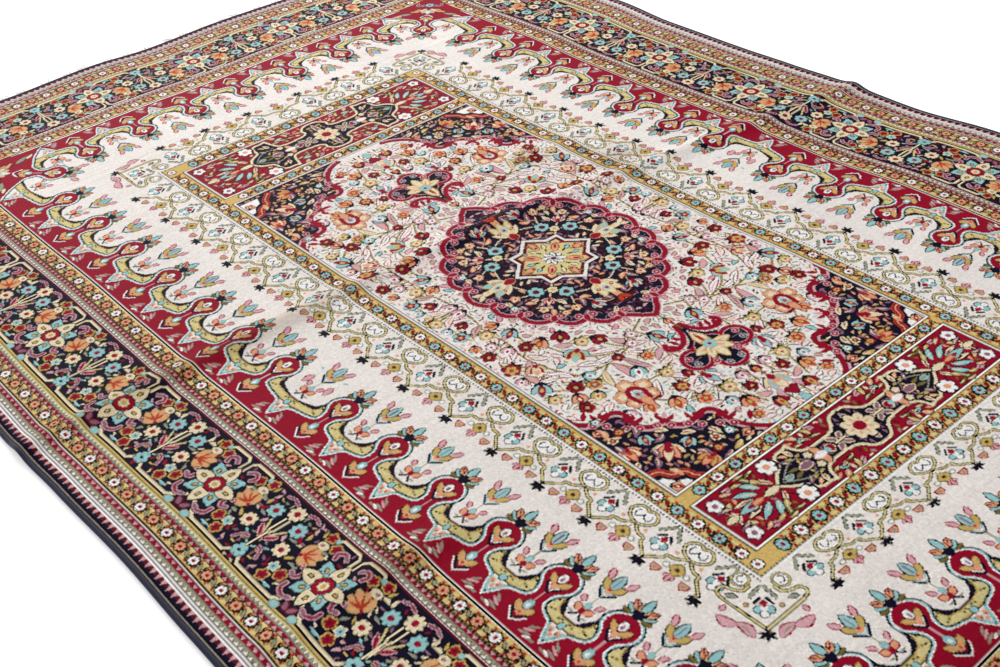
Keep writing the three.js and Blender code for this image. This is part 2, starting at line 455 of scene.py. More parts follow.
def stripe_unit(frame, pitch, number, radius, yarns=("white", "light_blue")):
    """One small flower of a gold stripe, then a dark oval with red hooks."""
    petals(frame, 8, radius + 0.8, radius + 1.7, "brown")
    daisy(frame, 0, 0, radius, yarns[number % 2])
    gap = frame.move(pitch / 2, 0)
    for half in halves(gap):
        line(half, [(0.6, -radius - 0.6), (3.6, -2.4), (3.6, 2.4), (0.6, radius + 0.6)], 1, "brown")
        for edge in (-1, 1):
            foot = pitch / 2 - pitch * 0.27
            patch(half, [(foot - 1.8, edge * (radius + 1.8)), (foot + 1.8, edge * (radius + 1.8)),
                         (foot - 0.4, edge * 2.4)], "orange" if edge > 0 else "crimson")
            each(oval, half, (1.4, edge * (radius + 0.2), 1.7, 1.2, "straw"),
                 (3.6, edge * 1.8, 1.2, 1, "black"))
    each(oval, gap, (0, 0, 3.3, 1.9, "black", 0.9),
         (0, 0, 2.5, 1.3, "crimson" if yarns[1] == "light_blue" else "sage", 0.9))


def gold_stripe(out, pitch, radius, yarns):
    """Small flowers by turns in two yarns along a gold stripe, round all four sides."""
    for side in (-1, 1):
        for number in range(-34, 35):
            along = number * pitch
            if abs(along) < end_place(out, along > 0) - pitch / 2:
                stripe_unit(side_frame(side, along, out), pitch, number, radius, yarns)
    for end in (-1, 1):
        for number in range(-int(out / pitch - 0.5), int(out / pitch - 0.5) + 1):
            stripe_unit(end_frame(end, number * pitch, out, 5), pitch, number, radius, yarns)
        for side in (-1, 1):
            daisy(Frame(side * out, end * end_place(out, end > 0)), 0, 0, radius, yarns[0])


# The navy border
BORDER_MIDDLE = 409
SIDE_FLOWERS = (645, 494, 350, 206, 62, -79, -229, -374, -512, -648)
END_FLOWERS = (-409, -279, -140, 0, 140, 279, 409)
BORDER_FILL = ("mauve", "cream", "gold", "pink", "crimson", "sage")


def border_flower(frame):
    """The large flower: a gold core in a red ring, then pointed petals by turns cream and pale blue."""
    for straight in (False, True):
        for number in range(4):
            turn = number * math.pi / 2 + (0 if straight else math.pi / 4)
            spot = frame.move(0, 0, turn)
            leaf(spot, 3, 0, 0, 22, 13, "cream" if straight else "light_blue", edge="black")
            petals(spot, 4, 4.4, 5.2, "cream" if straight else "light_blue", u=14.5)
            each(oval, spot, (15.5, 0, 3.2, 2.2, "black"), (15.5, 0, 2.2, 1.3, "gold"))
    each(petals, frame, (10, 8.4, 9.8, "black"), (10, 7.4, 8.8, "crimson"), (8, 3.8, 4.8, "cream"))
    oval(frame, 0, 0, 2.4, 2.4, "gold")


def curled_leaf(frame, points, width=4.6, yarns=("pink", "mauve", "crimson")):
    """A small leaf that curls over, with a pale edge and a red fold."""
    each(line, frame, (points, width + 1.4, "black"), (points, width, yarns[0]),
         (points, width * 0.6, yarns[1]), (points[1:], width * 0.28, yarns[2]))


def maple_leaf(frame, u, v, turn, size=1, yarns=("peach", "orange", "gold")):
    """A large lobed leaf with darker stripes and a gold edge."""
    spot = frame.move(u, v, turn, size)
    for away in (-0.95, 0.95, -0.45, 0.45, 0):
        leaf(spot, -8, 0, away, 19 - 5 * abs(away), 6.4, yarns[0], edge=yarns[2])
    for away in (-0.8, -0.3, 0.3, 0.8):
        leaf(spot, -6, 0, away, 12, 2.2, yarns[1])
    oval(spot, -8, 0, 2, 1.6, "crimson")


def ringed_bud(frame, u, v, size, yarn, edge):
    """A rounded four-cornered bud in an edge of another yarn, with a dark heart."""
    each(petals, frame, (5, size + 0.6, size + 2.6, "black", 0, u, v),
         (5, size, size + 1.9, edge, 0, u, v), (5, size * 0.7, size * 1.1, yarn, 0, u, v))
    oval(frame, u, v, size * 0.3, size * 0.3, "dark_red" if yarn == "crimson" else "navy")


def dark_line(frame, points, width, yarn, smooth=True):
    """A line of yarn with a thin dark edge."""
    each(line, frame, (points, width + 1.6, "black", smooth), (points, width, yarn, smooth))


def border_half(frame, star):
    """What lies between a large flower at u = 0 and the star at u = star."""
    outer_line = [(4, -20), (12, -29), (20, -34.5), (star - 10.5, -34.5), (star - 5, -28)]
    dark_line(frame, outer_line, 3, "cream", smooth=False)
    dark_line(frame, [(2.6, 20), (2.6, 33), (6, 36.6), (25, 36.8), (30, 32)], 2.4, "cream", smooth=False)
    each(oval, frame, (12, -35.5, 5, 4, "sage"), (12, -35.5, 4, 3, "light_blue"))
    leaf(frame, 1, -34, 0.8, 9, 4, "mauve", edge="crimson")
    each(ringed_bud, frame, (32, -17, 4.4, "crimson", "gold"), (42, -26, 4.4, "crimson", "gold"),
         (42.5, -15.5, 3.4, "light_blue", "cream"), (23, 27, 4, "crimson", "gold"),
         (35, 32, 4, "crimson", "gold"))
    each(oval, frame, (33.5, 22.5, 6, 4.6, "black"), (33.5, 22.5, 5.2, 3.8, "cream"),
         (34.5, 22.5, 1.8, 1.4, "mauve"), (28.5, 33, 2.2, 2.2, "light_blue"))
    maple_leaf(frame, 31.5, 9.5, 2.6)
    curled_leaf(frame, [(28.5, -9), (23.5, -10.5), (21, -6), (22, -1.5), (26, -1)])
    curled_leaf(frame, [(9, 26), (14, 29.5), (18.5, 26), (17, 21)])
    curled_leaf(frame, [(9, -25), (15.5, -27), (21.5, -24), (22.5, -18)])
    each(leaf, frame, (26, -29.5, 0, 12, 2.6, "light_blue"), (45, -6, 2.4, 9, 3, "gold", "black"),
         (40, 27, 1.2, 8, 2.8, "gold", "black"))
    each(dark_line, frame,
         ([(star, -19), (star - 7, -14), (star - 15, -9)], 1.8, "light_blue"),
         ([(star, -18), (star - 3.5, -2), (star - 10, 10)], 1.8, "straw"),
         ([(star - 7, -15), (star - 13, -18), (star - 14, -23), (star - 10, -24)], 1.6, "gold"),
         ([(star - 0.6, -20), (star - 0.6, -2), (star - 2.4, 6), (star - 2.4, 22)], 2, "cream"))
    each(leaf, frame, (star - 2, -7, 2.3, 14, 3, "crimson", "pink"),
         (star - 25, 10, -0.2, 9, 2.6, "sage"))
    curled_leaf(frame, [(star - 16, -21), (star - 12, -14), (star - 8, -13)], 3.4)
    curled_leaf(frame, [(star - 21, 33), (star - 15, 35), (star - 8, 33.5)], 3.4)
    each(daisy, frame, (star - 22.5, -2.5, 7, "cream"), (star - 15.5, 17.5, 7.2, "light_blue"))


def border_star(frame):
    """The small star on the outer side, where the fan of stems starts."""
    for turn in (0.5, math.pi - 0.5):
        leaf(frame, 0, 0, -turn, 9, 4.6, "sage")
    each(petals, frame, (6, 5.2, 8, "black"), (6, 4.2, 7, "light_blue"))
    each(oval, frame, (0, 0, 2, 1.6, "navy"), (0, -8, 1.8, 2.6, "crimson"))


def draw_border():
    """Flowers and stars along the navy border on all four sides."""
    links = []
    for side in (-1, 1):
        links += [(side_frame(side, low, BORDER_MIDDLE), high - low)
                  for low, high in zip(SIDE_FLOWERS[1:], SIDE_FLOWERS)]
    for end in (-1, 1):
        links += [(end_frame(end, low, BORDER_MIDDLE, 38), high - low)
                  for low, high in zip(END_FLOWERS, END_FLOWERS[1:])]
    for frame, length in links:
        draw_border_link(frame, length)
    for side in (-1, 1):
        for along in SIDE_FLOWERS:
            border_flower(side_frame(side, along, BORDER_MIDDLE).move(0, -1))
    for end in (-1, 1):
        for along in END_FLOWERS[1:-1]:
            border_flower(end_frame(end, along, BORDER_MIDDLE, 38).move(0, -1))
    for frame, length in links:
        for half in (frame, frame.move(length, 0, flip=-1)):
            fill_gaps([half], (0, length / 2), (-36, 35), "navy", BORDER_FILL, 6.5, 8)
            fill_gaps([half], (0, length / 2), (-37, 36), "navy", BORDER_FILL, 4.8, 5.2)


def draw_border_link(frame, length):
    border_half(frame, length / 2)
    border_half(frame.move(length, 0, flip=-1), length / 2)
    star = frame.move(length / 2, -25)
    border_star(star)
    daisy(star, 0, 52, 7.6, "cream")


# The scalloped band
SIDE_LOBES = (433, 360, 287, 213, 143, 74, 10, -76, -144, -213, -280, -343, -403, -463)
FAR_LOBES = (-213, -143, -72, 0, 72, 143, 213)
NEAR_LOBES = (-204, -138, -69, 0, 69, 138, 204)
SCALLOP_OUT = 336
SCALLOP_DEPTH = 65
LOBE_DEPTH = 67
CORNER_LOBE_SHIFT = 48.2
CORNER_REACH = 62.2
SIDE_CORNER_REACH = 88


def lobe_outline(left, right):
    """The outline of a keyhole lobe between the points of the valleys beside it."""
    def half(reach):
        if reach == CORNER_REACH:
            foot = [(reach, 14), (0.8 * reach, 14), (0.58 * reach, 15.5), (0.38 * reach, 19), (13, 23)]
        else:
            foot = [(reach, 4.5), (reach - 5.2, 13), (reach - 9.8, 21.6), (0.43 * reach, 24.8), (8.2, 28)]
        return foot + [(6, 34), (8, 41.5), (13.2, 48.5), (14.4, 55), (11.8, 61), (6, 65.7)]
    return half(right) + [(0, LOBE_DEPTH)] + [(-u, v) for u, v in reversed(half(left))]


def draw_lobe_edge(frame, left, right):
    outline = lobe_outline(left, right)
    each(line, frame, (outline, 6.2, "navy"), (outline, 3.4, "light_blue"))


def draw_lobe(frame, left, right):
    """A crimson lobe, with flowers in its head and foot."""
    outline = curve(lobe_outline(left, right))
    corner = left == CORNER_REACH
    foot = [(0, -CORNER_REACH)] if corner else [(-left, -2), (right, -2)]
    patch(frame, np.vstack((outline, foot)), "crimson")
    line(frame, outline, 1.1, "white")
    for flip, reach in ((-1, left), (1, right)):
        half = frame.move(0, 0, flip=flip)
        each(leaf, half, (1.5, 48, 0.75, 11, 5.6, "gold", "dark_red"), (3, 49.5, 0.75, 7, 2, "peach"))
        each(line, half, ([(0, 38.5), (3.2, 42.5), (6.4, 46.5)], 2.2, "navy"),
             ([(0.6, 42), (4.4, 47)], 1.1, "white"))
        each(leaf, half, (1.2, 13, 0.85, 11, 6.4, "gold", "dark_red"), (2.4, 14.5, 0.85, 7, 2.4, "peach"))
        each(line, half, ([(0, 4), (4.6, 8), (8.4, 12.5)], 1.3, "white"),
             ([(0, 6.2), (3.6, 9.8), (6.6, 13.4)], 2.2, "navy"))
        if corner:
            each(leaf, half, (5, -16, 0.6, 22, 9, "gold", "black"),
                 (22, 0, 0.3, 20, 6, "sage", "dark_red"), (10, -8, 0.1, 14, 5, "peach", "dark_red"),
                 (34, 8, 0.2, 12, 4, "cream", "dark_red"))
            curled_leaf(half, [(6, -30), (12, -27), (16, -29), (16, -35)])
        else:
            for away, up, turn, length, yarn in ((19, 2.2, 0.32, 12, "sage"), (17.5, 5.4, 0.5, 11, "pink"),
                                                 (15.5, 8.8, 0.7, 9, "sage"), (8.5, 1.8, 0.1, 6, "sage"),
                                                 (13, 1, 0.4, 7, "white")):
                leaf(half, reach - away, up, turn, length, 2.4, yarn)
    if corner:
        fan(frame, 0, -10, 7, ("cream", "peach", "light_blue"), turn=math.pi / 2)
        daisy(frame, 0, -30, 6, "light_blue")
    line(frame, [(0, 28), (0, 38)], 1.4, "pink")
    each(oval, frame, (0, 13.6, 2.8, 3, "peach"), (0, 46.4, 2.8, 3, "peach"),
         (0, 13.6, 1.2, 1.4, "orange"), (0, 22.5, 4.2, 5.4, "dark_red"),
         (0, 22.5, 3.4, 4.7, "light_blue"), (0, 21.8, 1.4, 2.4, "white"), (0, 55.6, 4.2, 5.4, "dark_red"),
         (0, 55.6, 3.2, 4.6, "white"), (0, 54.8, 1.2, 2.4, "mauve"))


def lobe_fan(frame, corner):
    """The opened bud beyond the tip of a lobe."""
    root = frame.move(0, 68)
    looks = ((1.52, 9, 4.2, "brown", "olive"), (1.08, 10, 4.4, "black", "light_blue"),
             (0.7, 12, 4.8, "brown", "peach"), (0.34, 8, 3.6, "brown", "peach"))
    for half in halves(root):
        for turn, length, width, edge, yarn in looks:
            foot = (4.5 * math.sin(turn), 4.5 * math.cos(turn))
            leaf(half, *foot, math.pi / 2 - turn, length, width, yarn, edge=edge)
        leaf(half, 6, 7.2, math.pi / 2 - 0.7, 8, 1.4, "crimson")
        if corner:
            leaf(half, 13, 8, 1.1, 13, 4.6, "pink", edge="crimson")
    each(leaf, root, (0, 5, math.pi / 2, 15, 5.6, "light_blue", "black"),
         (0, -3, math.pi / 2, 10, 8, "navy"))
    for turn in (0.75, math.pi - 0.75):
        leaf(root, 0, 0, turn, 8, 3.4, "navy")


def draw_scroll(frame, half):
    """The gold bracket across the foot of a valley; half is half the way to the next lobe."""
    path = [(0, 28.6), (6, 28.6), (half - 16, 30.6), (half - 12.6, 34.2), (half - 11.7, 41),
            (half - 15, 49)]
    widths = [7.4, 7, 9.4, 10, 6.6, 1.8]
    for grow, yarn in ((1.2, "navy"), (0.2, "gold"), (-1, "straw")):
        for flip in (-1, 1):
            swash(frame.move(0, 0, flip=flip), path, widths, yarn, grow)
    for side in halves(frame):
        swash(side, [(0, 33.6), (6, 33.4), (half - 19.5, 37.5), (half - 17, 42), (half - 14.5, 48)],
              [1.4, 1.6, 4.2, 3.6, 1.8], "navy")
        for u, v in ((half - 13, 32), (half - 12, 41), (6.5, 29.2)):
            each(oval, side, (u, v, 1.2, 0.9, "brown"), (u - 3, v + 1, 1.5, 0.9, "olive"))


def valley_corner(frame):
    """The small flower in the pale point at the outer end of a valley."""
    for half in halves(frame):
        line(half, [(0.6, 10), (4.2, 17), (7.6, 22.5)], 1.5, "light_blue")
        each(oval, half, (3.4, 19.2, 2.6, 2, "peach", 0.9), (2.6, 18, 1.2, 0.9, "orange", 0.9))
    each(oval, frame, (0, 15, 1.6, 2.2, "peach"), (0, 26, 3.4, 3.8, "navy"),
         (0, 26, 2.6, 3.1, "light_blue"))


def valley_sprays(frame, wide, corner):
    """Sprays in the pale part of a valley, between two lobes."""
    for half in halves(frame):
        line(half, [(0, 43.5), (2.6, 39.8), (5, 37.6)], 1.8, "navy")
        each(leaf, half, (1.6, 43.5, 0.75, 9, 5, "peach", "crimson"),
             (5.4, 51.5, 0.95, 8.5, 3.2, "pink", "crimson"), (3, 39.5, 0.2, 6, 2, "sage"))
        if corner:
            continue
        each(line, half, ([(0, 62.5), (3.4, 65.6), (7.6, 70.5)], 1.9, "navy"),
             ([(0.8, 65.4), (5.6, 70.8)], 1.2, "light_blue"))
        each(leaf, half, (2.4, 70.5, 0.98, 13, 5.4, "gold", "brown"),
             (7.4, 80, 1.12, 11, 4, "pink", "crimson"))
        if wide:
            each(leaf, half, (15, 52, 1.7, 13, 5.6, "pink", "crimson"),
                 (14, 74, 0.4, 6, 2.4, "light_blue"))
    each(oval, frame, (0, 44.8, 2.4, 2.6, "crimson"), (0, 51.2, 3, 3.6, "sage"),
         (0, 51.2, 2.4, 3, "light_blue"))
    line(frame, [(0, 54), (0, 63)], 1, "sage")
    if corner:
        return
    oval(frame, 0, 71, 3, 3.2, "peach")
    leaf(frame, 0, 72.5, math.pi / 2, 17, 7.6, "light_blue", edge="brown")
    line(frame, [(0, 75.5), (0, 85)], 1.2, "mauve")
    oval(frame, 0, 72.5, 1.4, 1.6, "orange")


def scallop_side(make, places, corners):
    """Lobes at places and valleys between them; corners are the two valley points at the ends."""
    stops = [corners[0]] + [(a + b) / 2 for a, b in zip(places, places[1:])] + [corners[1]]
    lobes = [(make(place), place - low, high - place)
             for place, low, high in zip(places, stops, stops[1:])]
    reaches = [places[0] - corners[0], *[(b - a) / 2 for a, b in zip(places, places[1:])],
               corners[1] - places[-1]]
    return lobes, [(make(stop), reach, stop in corners) for stop, reach in zip(stops, reaches)]


def draw_scallops():
    """The scalloped band, with one more lobe on each diagonal."""
    lobes, valleys = [], []
    far = end_place(SCALLOP_OUT, True) - SIDE_CORNER_REACH
    near = -end_place(SCALLOP_OUT, False) + SIDE_CORNER_REACH
    reach = SCALLOP_OUT - SIDE_CORNER_REACH
    runs = [(lambda y, side=side: side_frame(side, y, SCALLOP_OUT), sorted(SIDE_LOBES), (near, far))
            for side in (-1, 1)]
    runs += [(lambda x, end=end: end_frame(end, x, SCALLOP_OUT, SCALLOP_DEPTH), places, (-reach, reach))
             for end, places in ((1, FAR_LOBES), (-1, NEAR_LOBES))]
    for run in runs:
        some = scallop_side(*run)
        lobes += some[0]
        valleys += some[1]
    for side in (-1, 1):
        for end in (-1, 1):
            frame = corner_frame(side, end, SCALLOP_OUT).move(0, CORNER_LOBE_SHIFT)
            lobes.append((frame, CORNER_REACH, CORNER_REACH))
    for frame, half, _ in valleys:
        draw_scroll(frame, half)
    for frame, left, right in lobes:
        draw_lobe_edge(frame, left, right)
    for frame, left, right in lobes:
        draw_lobe(frame, left, right)
        lobe_fan(frame, left == CORNER_REACH)
    for frame, half, corner in valleys:
        valley_corner(frame)
        valley_sprays(frame, 40 < half < 45, corner)


# The arabesque band
SIDE_TUFTS = (375, 312, 251, 191, 132, 75, 25, -32, -89, -146, -204, -259, -311, -366, -420)
FAR_TUFTS = (-152, -93, -36, 36, 93, 152)
NEAR_TUFTS = (-148, -91, -34, 23, 80, 137)
ARABESQUE_OUT = 236
ARABESQUE_CORNER = 184
ARABESQUE_DEPTH = 52


def tuft(frame):
    """A dark maple-leaf tuft at the outer tip."""
    for turn, length in ((-1.75, 6.5), (-1, 7.5), (0, 6.8), (1, 7.5), (1.75, 6.5)):
        each(leaf, frame, (0, 7, -math.pi / 2 + turn, length, 3.2, "black"),
             (0, 7, -math.pi / 2 + turn * 1.2 + 0.3, length * 0.9, 1.2, "olive" if turn > 1 else "black"))
    oval(frame, 0, 6.5, 2.8, 2.8, "navy")
    line(frame, [(0, 6), (0, 12)], 1.6, "black")


def thread(frame, points):
    """A pale gold line with dark broken edges."""
    each(line, frame, (points, 3.4, "olive"), (points, 3.4, "black", True, 3.4), (points, 1.5, "straw"))


def cell(frame):
    """A pale cell with a blue, white and red flower in it, under a tuft."""
    for half in halves(frame):
        each(line, half, ([(1.4, 50), (9.2, 40)], 3, "sage"),
             ([(2.4, 51), (10.4, 41)], 1, "black", True, 2.4),
             ([(2.2, 46.4), (8.2, 38.6)], 1, "black", True, 2.4))
        each(oval, half, (3.9, 28.8, 4.2, 4, "black"), (3.9, 28.8, 3.3, 3.1, "light_blue"))
        line(half, [(2.2, 39.4), (6.4, 34.4)], 2.4, "navy")
    each(oval, frame, (0, 24.6, 3.8, 3.6, "black"), (0, 24.6, 2.9, 2.8, "white"),
         (0, 30.5, 2.6, 3, "white"))
    patch(frame, [(-3.4, 34.6), (0, 30.8), (3.4, 34.6), (0, 38.4)], "crimson")
    oval(frame, -1.4, 33.2, 1.2, 1, "orange")


def ringlet(frame, u, v, radius):
    """A gold curl round a white heart with a dark hook."""
    for grow, yarn in ((1.8, "olive"), (1, "straw"), (0.2, "black"), (-0.6, "white")):
        oval(frame, u, v, radius + grow, radius + grow, yarn)
    hook = [(u - 2.2, v + 3.4), (u + 1.6, v + 2.6), (u + 2.4, v - 1.4), (u - 1, v - 2.6)]
    line(frame, hook, 1.1, "navy")


def link(frame, half):
    """The double gold curl between two cells, an olive flower and two red-edged buds."""
    loop = [(0.8, 32), (5.3, 33.6), (9.3, 36.4), (12.3, 41.8), (9.2, 47.6), (4.4, 49.6), (0, 47.6)]
    for side in halves(frame):
        patch(side, [(0, 33.5), *loop[1:]], "white")
        line(side, [(6, 45), (7.2, 41.5), (5.2, 38), (1.8, 40), (0, 42.8)], 1.1, "navy")
        thread(side, [(half, 11.2), (half - 5.5, 16.2), (half - 11, 21.2), (half - 11.8, 24.6),
                      (8.2, 26.4), (0.8, 32)])
        thread(side, loop)
        each(oval, side, (11.4, 31.6, 1.7, 1.7, "peach"), (9.6, 18, 3.2, 2.8, "sage"),
             (9.6, 18, 2, 1.8, "white"))
        spot = side.move(half - 13.4, 10)
        for grow, yarn in ((0, "crimson"), (-1.3, "peach"), (-2.9, "sage")):
            patch(spot, [(-4.8 - grow, 4 + 0.6 * grow), (4.8 + grow, 4 + 0.6 * grow), (4.4 + grow, -0.6),
                         (0, -4.4 - grow), (-4.4 - grow, -0.6)], yarn)
    line(frame, [(0, 22), (0, 33)], 1, "black", dots=2)
    daisy(frame, 0, 19, 5.4, "gold", heart="brown", edge="olive", count=4)
    for turn in (-0.9, 0.9, 0):
        leaf(frame, 0, 12.5, -math.pi / 2 + turn, 8 - 2 * abs(turn), 2.8, "pink", edge="crimson")


def draw_arabesque():
    """Tufts, cells and links round all four sides, and a cell on each diagonal."""
    runs = [(lambda y, side=side: side_frame(side, y, ARABESQUE_OUT), sorted(SIDE_TUFTS))
            for side in (-1, 1)]
    runs += [(lambda x, end=end: end_frame(end, x, ARABESQUE_OUT, ARABESQUE_DEPTH), places)
             for end, places in ((1, FAR_TUFTS), (-1, NEAR_TUFTS))]
    for make, places in runs:
        for low, high in zip(places, places[1:]):
            link(make((low + high) / 2), (high - low) / 2)
        for place in places:
            cell(make(place))
            tuft(make(place))
    for side in (-1, 1):
        for end in (-1, 1):
            frame = corner_frame(side, end, ARABESQUE_CORNER).move(0, -ARABESQUE_DEPTH - 2)
            for flip in (-1, 1):
                arabesque_corner(frame.move(0, 0, flip=flip))
            cell(frame)
            tuft(frame)


def arabesque_corner(half):
    """One half of what surrounds the cell on the diagonal: a long line, a curl and a wavy bud."""
    thread(half, [(0, 11.2), (9, 20), (18, 29), (27, 38), (31, 46), (26, 50), (20, 47), (13, 46), (9, 50)])
    ringlet(half, 14, 56.5, 5.6)
    each(oval, half, (12.2, 33, 2.4, 2.4, "olive"), (12.2, 33, 1.2, 1.2, "peach"))
    each(leaf, half, (17, 40, 0.3, 9, 3.4, "sage", "black"), (26, 33, -0.9, 7, 3, "pink", "crimson"),
         (8.5, 4.5, 0.86, 17, 7, "pink", "crimson", 1.6),
         (19, 14.5, 0.6, 17, 7, "pink", "crimson", -1.6), (11, 7, 0.8, 12, 1.6, "sage", None, 1.6))


# The crimson panels at the two ends of the field
PANEL_LEAVES = [  # u, v as a share of the half height, turn, length, width, yarn
    (27, 0.84, 0.3, 13, 5.5, "pink"), (35, 0.72, 1.2, 10, 4.5, "gold"),
    (42, 0.76, -0.3, 11, 4, "light_blue"), (48, 0.84, 0.7, 10, 5, "peach"),
    (30, 0.55, 0.2, 12, 3, "olive"), (40, 0.58, 0.4, 10, 2.6, "cream"), (50, 0.6, 0.2, 8, 2.6, "gold"),
    (66, 0.48, 1.3, 10, 5, "cream"), (70, 0.55, 0.7, 8, 3.4, "peach"), (74, 0.3, 0.9, 10, 3.6, "mauve"),
    (101, 0.18, 0.9, 15, 4.4, "cream"), (106, 0.42, 0.7, 13, 5, "gold"),
    (112, 0.3, 0.9, 16, 5.4, "light_blue"), (118, 0.2, 0.55, 19, 5.4, "light_blue"),
    (124, 0.12, 0.2, 18, 4.4, "cream"), (112, 0.62, 1.1, 12, 5, "olive"),
    (119, 0.74, 0.2, 10, 3.6, "gold"), (127, 0.84, -0.2, 13, 5.4, "pink"),
    (132, 0.68, 0.4, 10, 3.6, "peach"), (140, 0.48, -0.9, 8, 4, "gold"), (148, 0.46, -1.4, 7, 4, "cream"),
    (143, 0.28, 0.3, 13, 3.6, "mauve"), (100, 0.88, -0.2, 12, 3, "olive"),
    (110, 0.92, 0.1, 10, 2.6, "gold"),
]
PANEL_MIDDLE = [  # u, turn, length, width, yarn, edge
    (33, 0, 10, 8, "crimson", "cream"), (43, 0, 13, 7, "white", "peach"),
    (60, 0, 14, 7, "mauve", "cream"), (82, 0, 9, 4, "sage", "light_blue"),
    (99, 0, 17, 7, "cream", "black"), (119, 0, 24, 8, "light_blue", "black"),
    (117, 0, 16, 4, "peach", "orange"), (145, 0, 13, 6, "cream", "black"),
]


def panel(middle_y, height):
    """A crimson panel with a navy cartouche along it, flowers and leaves."""
    frame = Frame(0, middle_y)
    top = height / 2
    width = FIELD["half_width"]
    patch(frame, [(-width, -top), (width, -top), (width, top), (-width, top)], "crimson")
    arm = 0.32 * top + 1
    for part in quarters(frame):
        inner_edge = [(0, top - 4), (7, top - 5), (12, top - 8), (16.5, top - 14), (16, arm + 6),
                      (22, arm + 1.5), (38, arm), (54, arm + 2), (60, top - 9), (61, top - 3)]
        outer_edge = [(61, top - 3), (67, top - 5), (74, top - 5), (80, top - 9), (82, arm + 4),
                      (90, arm - 1), (96, arm - 6), (100, 0)]
        patch(part, [(0, -1), *curve(inner_edge), *curve(outer_edge), (100, -1)], "navy")
        for thick, yarn in ((4.4, "black"), (2.8, "cream")):
            each(line, part, (inner_edge, thick, yarn), (outer_edge, thick, yarn))
        for u, share, turn, length, wide, yarn in PANEL_LEAVES:
            vein = "crimson" if yarn in ("cream", "pink") else "cream"
            each(leaf, part, (u, share * top, turn, length, wide, yarn, "black", 0.8),
                 (u, share * top, turn, length * 0.7, 1.2, vein, None, 0.8))
        line(part, [(66, arm), (74, arm + 1), (84, arm - 4), (94, 0)], 1.2, "sage")
        each(leaf, part, (26, 2, 0.75, 10, 3.6, "mauve", "cream"),
             (24, 2, math.pi - 0.75, 9, 3.4, "mauve", "cream"), (47, 2, 1.2, 10, 6, "peach", "black"),
             (73, 2, 0.25, 11, 3.4, "olive"))
        daisy(part, 90, top - 9, 8, "white", heart="peach", count=6)
        line(part, [(84, top - 17), (80.5, top - 10), (83, top - 3)], 1.8, "navy")
        daisy(part, 150, top - 10, 6.4, "white", heart="mauve", count=5)
        petals(part, 5, 2.4, 3.6, "cream", u=57, v=arm - 3.4)
        fill_gaps([part], (0, 158), (0, top - 2), "crimson",
                  ("dark_red", "olive", "peach", "cream", "sage"), 4.6, 6)
        fill_gaps([part], (0, 98), (0, top - 4), "navy", ("mauve", "gold", "mauve"), 5, 5.6)
    for half in halves(frame):
        line(half, [(16, 0), (30, 0)], 1.6, "cream")
        for u, turn, length, wide, yarn, edge in PANEL_MIDDLE:
            leaf(half, u, 0, turn, length, wide, yarn, edge=edge)
        each(oval, half, (41, 0, 3, 2.6, "light_blue"), (131, 0, 3, 2, "crimson"))
    for turn in range(4):
        leaf(frame, 0, 0, turn * math.pi / 2, top - 8 if turn % 2 else 19, 5, "mauve", edge="cream")
    daisy(frame, 0, 0, 15, "cream", heart="crimson")
    for number in range(8):
        turn = number * math.pi / 4
        oval(frame, 8.6 * math.cos(turn), 8.6 * math.sin(turn), 2.4, 1, "peach", turn=turn)


def boxed(low, high, yarns, width, pitch=3.6):
    """A dotted rectangle, width wide outside the box from low to high."""
    x = CHART_X[None, :]
    y = CHART_Y[:, None]
    outer, inner = [(x > low[0] - grow) & (x < high[0] + grow) & (y > low[1] - grow) & (y < high[1] + grow)
                    for grow in (width, 0)]
    even = (np.floor((x + y) / pitch * 2) % 2 == 0)
    CHART[outer & ~inner & even] = INK[yarns[0]]
    CHART[outer & ~inner & ~even] = INK[yarns[1]]


def draw_frame():
    """The gold frame that divides the field from the two panels, with its dotted lines."""
    width = FIELD["half_width"]
    x = np.abs(CHART_X)[None, :]
    side, far, near = BAND_EDGES[0]
    inside = (x < side) & (CHART_Y > -near)[:, None] & (CHART_Y < far)[:, None]
    CHART[inside] = INK["amber"]
    dotted = ((("black", "olive"), 3.8), (("white", "white"), 2.7), (("black", "dark_red"), 0.9))
    for low, high in (NEAR_PANEL, (FIELD["near"], FIELD["far"]), FAR_PANEL):
        for yarns, wide in dotted:
            boxed((-width, low), (width, high), yarns, wide)
    patch(Frame(0, 0), [(-width, FIELD["near"]), (width, FIELD["near"]), (width, FIELD["far"]),
                        (-width, FIELD["far"])], "ivory")
    for middle, first in (((FIELD["near"] + NEAR_PANEL[1]) / 2, 0), ((FIELD["far"] + FAR_PANEL[0]) / 2, 1)):
        for number in range(-7, 8):
            frame = Frame(number * FRAME_PITCH, middle)
            stripe_unit(frame, FRAME_PITCH, number + first, 4.6)


# The field
MEDALLION_CUSPS = [(95, -19), (95, 19), (88, 48.5), (70, 75), (47.5, 95), (22, 113)]
MEDALLION_TIP = (0, 135)
PALMETTE_REACH = 66
MEDALLION_LEAVES = [  # u, v, turn, length, yarn
    (19, 38, 2.9, 13, "mauve"), (38, 20, -1.4, 13, "mauve"), (30, 66, 1.2, 15, "mauve"),
    (30, 66, 2.6, 12, "peach"), (59, 47, 0.5, 13, "mauve"), (57, 41, -0.3, 12, "cream"),
    (47, 53, 1.7, 13, "cream"), (78, 38, 1.6, 10, "mauve"), (60, 62, 0.9, 11, "peach"),
    (81, 8, 1.2, 12, "mauve"), (13, 80, 2, 12, "mauve"), (38, 86, 0.4, 9, "mauve"),
    (8, 106, 1.2, 14, "mauve"), (16, 100, 0.6, 10, "cream"), (84, 24, 1.5, 9, "cream"),
    (62, 54, 1.9, 9, "pink"), (50, 66, 2.2, 10, "mauve"), (72, 38, 2.4, 11, "peach"),
]
CORNER_EDGE = [(161, 186), (142, 205), (125, 226), (104, 241), (85, 257), (66, 274), (30, 314)]
CORNER_BULGES = [0.2, -0.46, 0.25, 0.25, -0.46, 0.16]
